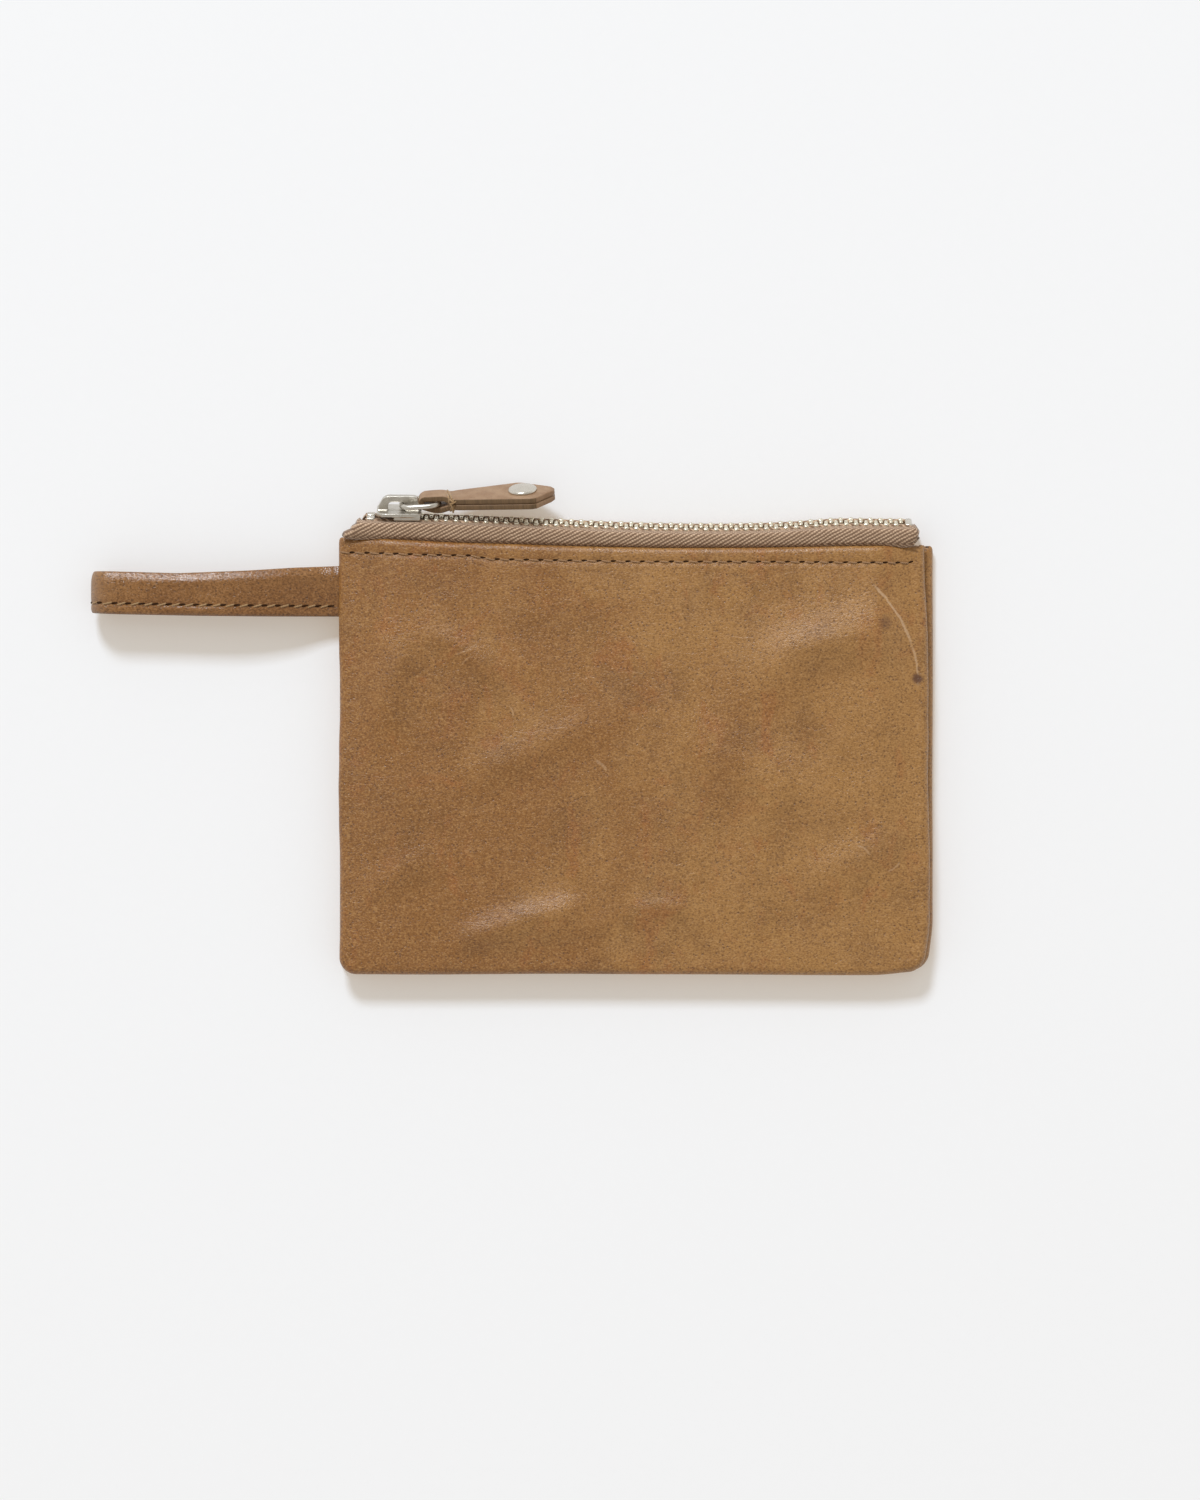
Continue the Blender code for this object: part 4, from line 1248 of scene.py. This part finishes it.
def build_slider():
    """The CAD's slider with its edges rounded as a casting's are."""
    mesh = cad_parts["slider_body"].data.copy()
    mesh.materials.clear()
    slider = new_object("cast_slider", mesh, [NICKEL])
    remesh = slider.modifiers.new("remesh", "REMESH")
    remesh.mode = "VOXEL"
    remesh.voxel_size = 0.14 * MM
    smooth = slider.modifiers.new("smooth", "SMOOTH")
    smooth.iterations = 5
    smooth.factor = 0.5
    applied(slider)
    slider.data.shade_smooth()
    fitted(slider, "slider_body", "slider")


def rounded_rectangle(half_x, half_z, radius, steps):
    points = []
    for x_side, z_side, start in ((1, 1, 0), (-1, 1, 90), (-1, -1, 180), (1, -1, 270)):
        centre = (x_side * (half_x - radius), z_side * (half_z - radius))
        points += arc(centre, radius, start, start + 90, steps)
    return points


def build_ring():
    outline = rounded_rectangle(RING_LENGTH / 2, RING_WIDTH / 2, 2.4 * MM, 12)
    path = placed([(x + RING_LENGTH / 2, 0, z) for x, z in outline], RING)
    points, faces = tube(path.tolist(), 0.64 * MM, 14, close=True)
    fitted(new_piece("wire_ring", points, faces, NICKEL), "pull_ring", "ring")


def pull_centre_line():
    """Middle line of the folded strip in the pull's xy plane: lower tip, round the ring, upper tip."""
    middle = PULL_SLIT + PULL_LEATHER / 2
    loop = 0.75 * MM + PULL_LEATHER / 2
    upper = [(0.9 * MM, loop), (2.9 * MM, middle + 0.05 * MM), (4.5 * MM, middle)]
    # Behind the ring the fold is pinched up off the chain.
    turn = arc((-3.0 * MM, 0.35 * MM), loop - 0.3 * MM, 270, 90, 16)
    lower = [(x, -y) for x, y in reversed(upper)] + [(-0.8 * MM, -loop)]
    far = [4.5 * MM + (PULL_LENGTH - 4.5 * MM) * i / 26 for i in range(1, 27)]

    def flat(line):
        return [Vector((*p, 0)) for p in line]

    under, over = flat((x, -middle) for x in reversed(far)), flat((x, middle) for x in far)
    neck_low = smooth_path(flat([*lower, turn[0]]), 5)
    neck_high = smooth_path(flat([turn[-1], *upper]), 5)
    return under + neck_low + flat(turn[1:-1]) + neck_high + over


def pull_edges(x):
    """The pull's two edges in its plane at x; the one towards the front is widest nearer the tip."""
    widths = [1.8, 2.3, 2.35, 3.3, 5.7, 5.5, 1.7, 0.7]
    back = table(x, [-4.5, -2.5, 1.5, 4.5, 18.6, 19.8, 26.6, 27.4], widths)
    return -back, table(x, [-4.5, -2.5, 1.5, 4.5, 21.8, 22.9, 26.6, 27.4], widths)


def strip_section(place, normal, edges, thickness):
    """Rounded-rectangle section of the pull's strip, from edge to edge."""
    middle, half = (edges[0] + edges[1]) / 2, (edges[1] - edges[0]) / 2
    section = []
    for a, b in rounded_rectangle(half, thickness / 2, 0.3 * MM, 4):
        section.append(place + Vector((0, 0, a + middle)) + normal * b)
    return section


def build_pull():
    line = pull_centre_line()
    rows, pattern = [], []
    gone = 0.0
    for i, place in enumerate(line):
        along = along_path(line, i)
        if i:
            gone += (place - line[i - 1]).length
        thin = 1.0 if 0 < i < len(line) - 1 else 0.72
        normal = Vector((-along.y, along.x, 0))
        row = strip_section(place, normal, pull_edges(place.x), PULL_LEATHER * thin)
        rows.append(row)
        pattern.append([(gone / MM, p.z / MM, 0) for p in row])
    points, faces = swept(rows)
    pull = new_piece(
        "folded_pull", placed(points, PULL), faces, PULL_TAN, PULL_EDGE, pattern=pattern
    )
    # The two cut sides show the leather's edge.
    across = PULL.to_3x3() @ Vector((0, 0, 1))
    for polygon in pull.data.polygons:
        if abs(polygon.normal.dot(across)) > 0.8:
            polygon.material_index = 1
    turned_outward(pull)
    fitted(pull, "pull_leather", "pull")


def build_rivet():
    face = PULL_SLIT + PULL_LEATHER
    dome = [(0, face + 1.12 * MM)]
    for i in range(1, 11):
        a = math.pi / 2 * (1 - i / 10)
        dome.append((3.36 * MM * math.cos(a * 0.98), face + 0.30 * MM + 0.82 * MM * math.sin(a) ** 0.9))
    dome += [(3.42 * MM, face + 0.16 * MM), (3.34 * MM, face + 0.02 * MM), (2.6 * MM, face - 0.12 * MM)]
    base = [(2.6 * MM, -face + 0.1 * MM), (3.36 * MM, -face - 0.02 * MM), (3.4 * MM, -face - 0.18 * MM)]
    for i in range(7):
        a = math.pi / 2 * i / 7
        base.append((3.34 * MM * math.cos(a), -face - 0.22 * MM - 0.6 * MM * math.sin(a)))
    base.append((0, -face - 0.82 * MM))
    for name, node, profile in (("rivet_dome", "rivet_cap", dome), ("rivet_back", "rivet_base", base)):
        points, faces = lathe(profile)
        points = placed([(x + RIVET_X, y, z) for x, y, z in points], PULL)
        piece = new_piece(name, points, faces, RIVET_NICKEL)
        turned_outward(piece)
        fitted(piece, node, "pull")


def build_binding():
    """Two turns of thread that cross on the pull's edge, with the short ends left."""
    half_v = PULL_SLIT + PULL_LEATHER + THREAD / 2 + 0.12 * MM
    parts = []
    for start in (1.9, 2.55):
        half_w = pull_edges(start * MM)[1] + THREAD / 2 + 0.05 * MM
        path = []
        for i in range(41):
            a = 2 * math.pi * i / 40
            v = half_v * math.copysign(abs(math.sin(a)) ** 0.4, math.sin(a))
            across = math.copysign(abs(math.cos(a)) ** 0.3, math.cos(a))
            path.append(((start + 0.6 * across + 0.35 * i / 40) * MM, v, half_w * across))
        parts.append(twisted(placed(path, PULL), THREAD * 1.1))
    half_w = pull_edges(3 * MM)[1] + THREAD * 0.6
    ends = ((2.6, 3.6, 1.5, 0.7), (3.7, 2.6, 1.4, -0.2), (2.9, 3.3, 0.7, -1.9), (2.7, 4.1, 0.3, 0.9))
    for x0, x1, v0, v1 in ends:
        path = []
        for t in np.linspace(0, 1, 9):
            bulge = 0.3 * MM * math.sin(math.pi * t)
            path.append(((x0 + (x1 - x0) * t) * MM, (v0 + (v1 - v0) * t) * MM, half_w + bulge))
        parts.append(twisted(placed(path, PULL), THREAD))
    binding = new_piece("neck_binding", *merged(parts), THREAD_GOLD)
    fitted(binding, "pull_binding", "pull")


# Finger loop


def strap_line():
    """Middle line of the folded strip in the xz plane: out along the table, round, and back above."""
    low, high = STRAP / 2 + 0.06 * MM, STRAP_TOP_Z - STRAP / 2
    start = STRAP_PIVOT_X - 1.5 * MM
    bend = (high - low) / 2
    end_x = STRAP_END_X + 0.35 * MM + STRAP / 2 + bend
    lift = 1.0 * MM
    out = [
        (start + 6.5 * MM, SEAM_Z - lift + 0.1 * MM),
        (start, SEAM_Z - lift),
        (start - 4 * MM, SEAM_Z - lift - 0.6 * MM),
        (start - 11 * MM, low + 0.3 * MM),
        (start - 18 * MM, low),
        (end_x + 16 * MM, low),
        (end_x, low),
    ]
    back = [
        (end_x, high),
        (end_x + 16 * MM, high),
        (start - 22 * MM, high),
        (start - 11 * MM, high - 1.3 * MM),
        (start - 4 * MM, SEAM_Z + lift + 0.9 * MM),
        (start, SEAM_Z + lift),
        (start + 6.5 * MM, SEAM_Z + lift - 0.1 * MM),
    ]
    turn = arc((end_x, low + bend), bend, 270, 90, 22)
    first, last = (smooth_path([(x, 0, z) for x, z in run], 14) for run in (out, back))
    return first[:-1] + [Vector((x, 0, z)) for x, z in turn] + last[1:]


def strap_edges(x):
    """The strap's lower and upper edge in y at x: it narrows a little behind its end."""
    top = [44.05, 43.9, 43.5, 44.1, 44.9, 45.3, 45.3]
    low = [34.2, 33.95, 33.6, 33.45, 33.35, 33.35]
    return (
        table(x, [-129, -122, -104, -90, -70, -60], low),
        table(x, [-129, -122, -108, -92, -80, -70, -60], top),
    )


def strap_section(thickness, low, high):
    """Section of the lengthwise-folded strip: (y, offset, is_edge) round from its fold."""
    r = thickness / 2
    slit = 0.10 * MM
    fold_y, flat_end = high - 3.0 * MM, low + 1.1 * MM
    upper = [(fold_y + (flat_end - fold_y) * i / 9, r, 0) for i in range(1, 10)]
    upper += [(low + 0.55 * MM, r - 0.06 * MM, 0), (low + 0.15 * MM, r - 0.22 * MM, 0)]
    upper += [(low, r - 0.42 * MM, 1), (low, slit, 1)]
    outline = []
    for k in range(17):
        a = math.radians(-90 + 180 * k / 16)
        outline.append((fold_y + 3.0 * MM * math.cos(a), r * math.sin(a), 0))
    outline += [*upper, (low + 0.5 * MM, 0.0, 1)]
    return outline + [(y, -off, edge) for y, off, edge in reversed(upper)]


def strap_frames():
    """(place, outward normal, distance along) at each station of the strap's line."""
    line = strap_line()
    frames = []
    gone = 0.0
    for i, place in enumerate(line):
        along = along_path(line, i)
        if i:
            gone += (place - line[i - 1]).length
        frames.append((place, Vector((-along.z, 0, along.x)), gone))
    return frames


def strap_row(place, out, gone, middle):
    """The strap's section at a station: points, cut-piece places and edge marks; middle is half its run."""
    low, high = strap_edges(place.x)
    puff = 0.10 * MM * rippled(gone, 0, 8.8, 60)
    thick = STRAP if place.x < STRAP_PIVOT_X else 1.4 * MM
    straight = 1 - bell(gone - middle, 8 * MM)
    # bent marks the hairpin bend, which the strap's material paints lighter for the light on it and makes
    # rougher.
    bent = bell(gone - middle, 4.2 * MM)
    near_end, near_seam = bell(place.x + 104 * MM, 9 * MM), bell(place.x + 79 * MM, 9 * MM)
    worn = straight * (0.25 + 0.75 * (near_end + near_seam))
    row, places, marks = [], [], []
    for y, off, edge in strap_section(thick, low, high):
        belly = math.sin(math.pi * np.clip((y - low) / (high - low), 0, 1))
        fold = bell(high - 2.0 * MM - y, 0.9 * MM)
        lip = bell(y - low - 1.2 * MM, 0.7 * MM)
        rim = bell(high - y, 1.3 * MM)
        swell = 0.10 * belly + worn * (0.45 * fold + 0.3 * lip * near_end) - 0.45 * rim * straight
        swell = (swell * MM + puff * straight) * off / thick
        groove = 0.16 * MM * bell(y - low - STRAP_STITCH, 0.5 * MM) if off > 0 else 0
        p = place + out * (off + swell - groove)
        row.append((p.x, y, max(p.z, 0.02 * MM)))
        places.append((gone / MM, y / MM + (30 if off < 0 else 0), bent))
        marks.append(edge)
    return row, places, marks


def with_loop(obj):
    """Bakes the transform of obj, a piece of the finger loop out of the left seam, into its mesh."""
    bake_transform(obj)


class StrapLine:
    """The strap's stitching line on its outer face, by distance along the strap."""

    def __init__(self, frames):
        self.frames = frames
        self.start = 4.0 * MM
        self.stop = frames[-1][2] - 4.0 * MM
        self.gone = np.array([f[2] for f in frames])

    def __call__(self, s):
        i = int(np.clip(np.searchsorted(self.gone, s) - 1, 0, len(self.frames) - 2))
        a, b = self.frames[i], self.frames[i + 1]
        t = (s - a[2]) / max(b[2] - a[2], 1e-9)
        place = a[0].lerp(b[0], t)
        out = a[1].lerp(b[1], t).normalized()
        low, _ = strap_edges(place.x)
        spot = Vector((place.x, low + STRAP_STITCH, place.z)) + out * STRAP / 2
        return spot, out, Vector((0, 1, 0))


def build_strap():
    frames = strap_frames()
    rows = [strap_row(*station, frames[-1][2] / 2) for station in frames]
    points, faces = swept([row[0] for row in rows])
    pattern = [row[1] for row in rows]
    strap = new_piece("leather_loop", points, faces, STRAP_TAN, EDGE, pattern=pattern)
    marks = rows[0][2]
    for polygon in strap.data.polygons:
        if all(marks[v % len(marks)] for v in polygon.vertices):
            polygon.material_index = 1
    turned_outward(strap)
    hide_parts("strap_loop", "strap_tail")
    with_loop(strap)
    threads, holes = stitch_row(StrapLine(frames), STRAP_PITCH, 0.05 * MM, 2)
    thread, _ = gather("loop_thread", threads, THREAD_GOLD)
    # The needle holes are dark patches of painted shade.
    hole, _ = gather("loop_needle_hole_shades", holes, HOLE_SHADE)
    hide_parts("strap_stitching")
    with_loop(thread)
    with_loop(hole)


def lining_z(x, y, side, rise):
    """Height of a lining at a place, from the seam it is sewn into up, or down, to its panel."""
    edge = SEAM_Z + side * (SEAM_GAP / 2 + 0.4 * MM)
    panel = domed(x, y) - LEATHER - 0.9 * MM if side > 0 else LEATHER + 0.6 * MM
    return edge + (panel - edge + 0.22 * MM * rippled(x, y, 11.0 + side, 70)) * rise


# Lining and inner seam


def build_linings():
    half = HALF_WIDTH - ALLOWANCE - 0.7 * MM
    low_y = BOTTOM_Y + ALLOWANCE + 0.7 * MM
    reach = MOUTH_Y - HEM_DEPTH - 0.4 * MM - low_y
    # The rows and columns are closer together near the edges.
    across, along = (np.sin(np.linspace(-1, 1, count) * math.pi / 2) for count in (90, 64))
    for name, side in (("front", 1), ("back", -1)):
        points = []
        for t in along:
            for s in across:
                x, y = float(s) * half, low_y + (float(t) + 1) / 2 * reach
                rise = (1 - abs(s) ** 10) * (1 - max(-t, 0) ** 10)
                points.append((x, y, lining_z(x, y, side, rise)))
        faces = grid_faces(len(along), len(across))
        places = [(x / MM, y / MM, 0) for x, y, _ in points]
        lining = new_piece(name + "_cotton", points, faces, COTTON, pattern=places)
        solidified(lining, 0.3 * MM, -side)
        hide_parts(name + "_lining")
        follow(lining, side)


def finish_seam_thread():
    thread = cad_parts["seam_thread"]
    thread.data.materials.clear()
    thread.data.materials.append(sewing_thread("seam_thread_finish", THREAD_COLOUR))


# Floor, light and camera


def build_floor():
    corners = [(-3, -3), (3, -3), (3, 3), (-3, 3)]
    points = [(x, y, -0.02 * MM) for x, y in corners]
    new_piece("floor", points, [[0, 1, 2, 3]], paper_floor("paper_floor"))


def build_sky():
    """A room that is warmer and darker straight above than round the sides."""
    world = bpy.data.worlds.new("studio")
    bpy.context.scene.world = world
    world.use_nodes = True
    nodes, links = world.node_tree.nodes, world.node_tree.links
    direction = nodes.new("ShaderNodeTexCoord")
    parts = nodes.new("ShaderNodeSeparateXYZ")
    sky = nodes.new("ShaderNodeValToRGB")
    background = nodes["Background"]
    links.new(direction.outputs["Generated"], parts.inputs[0])
    links.new(parts.outputs["Z"], sky.inputs["Fac"])
    links.new(sky.outputs["Color"], background.inputs["Color"])
    side, above = sky.color_ramp.elements
    side.position, side.color = 0.10, (0.83, 0.82, 0.805, 1)
    above.position, above.color = 1.0, (0.476, 0.448, 0.408, 1)
    # At the horizon it is as white as the far floor, so that no line shows between them.
    sky.color_ramp.elements.new(0.0).color = (1.05, 1.05, 1.05, 1)
    background.inputs["Strength"].default_value = 1.0


def build_key_light():
    """A softbox high behind the pouch and a little to the left."""
    data = bpy.data.lights.new("key", "AREA")
    data.color = (0.93, 0.985, 1.07)
    data.shape = "RECTANGLE"
    data.size, data.size_y = 1.4, 1.1
    data.energy = 262.0
    light = bpy.data.objects.new("key", data)
    bpy.context.scene.collection.objects.link(light)
    light.location = (-1.3, 4.4, 3.9)
    light.rotation_euler = (-light.location).to_track_quat("-Z", "Y").to_euler()


def build_camera():
    data = bpy.data.cameras.new("camera")
    camera = bpy.data.objects.new("camera", data)
    scene = bpy.context.scene
    scene.collection.objects.link(camera)
    data.sensor_width = 36
    data.lens = 36 * (CAMERA_HEIGHT - 8 * MM) / VIEW_HEIGHT
    data.clip_start, data.clip_end = 0.05, 20
    camera.location = (-8.4 * MM, 1.8 * MM, CAMERA_HEIGHT)
    camera.rotation_euler = (0, 0, 0)
    scene.camera = camera
    scene.view_settings.view_transform = "Standard"
    scene.view_settings.look = "None"


build_floor()
build_sky()
build_key_light()
build_camera()
build_panels()
build_top_stitching()
build_zip()
build_slider()
build_ring()
build_pull()
build_rivet()
build_binding()
build_strap()
build_linings()
finish_seam_thread()
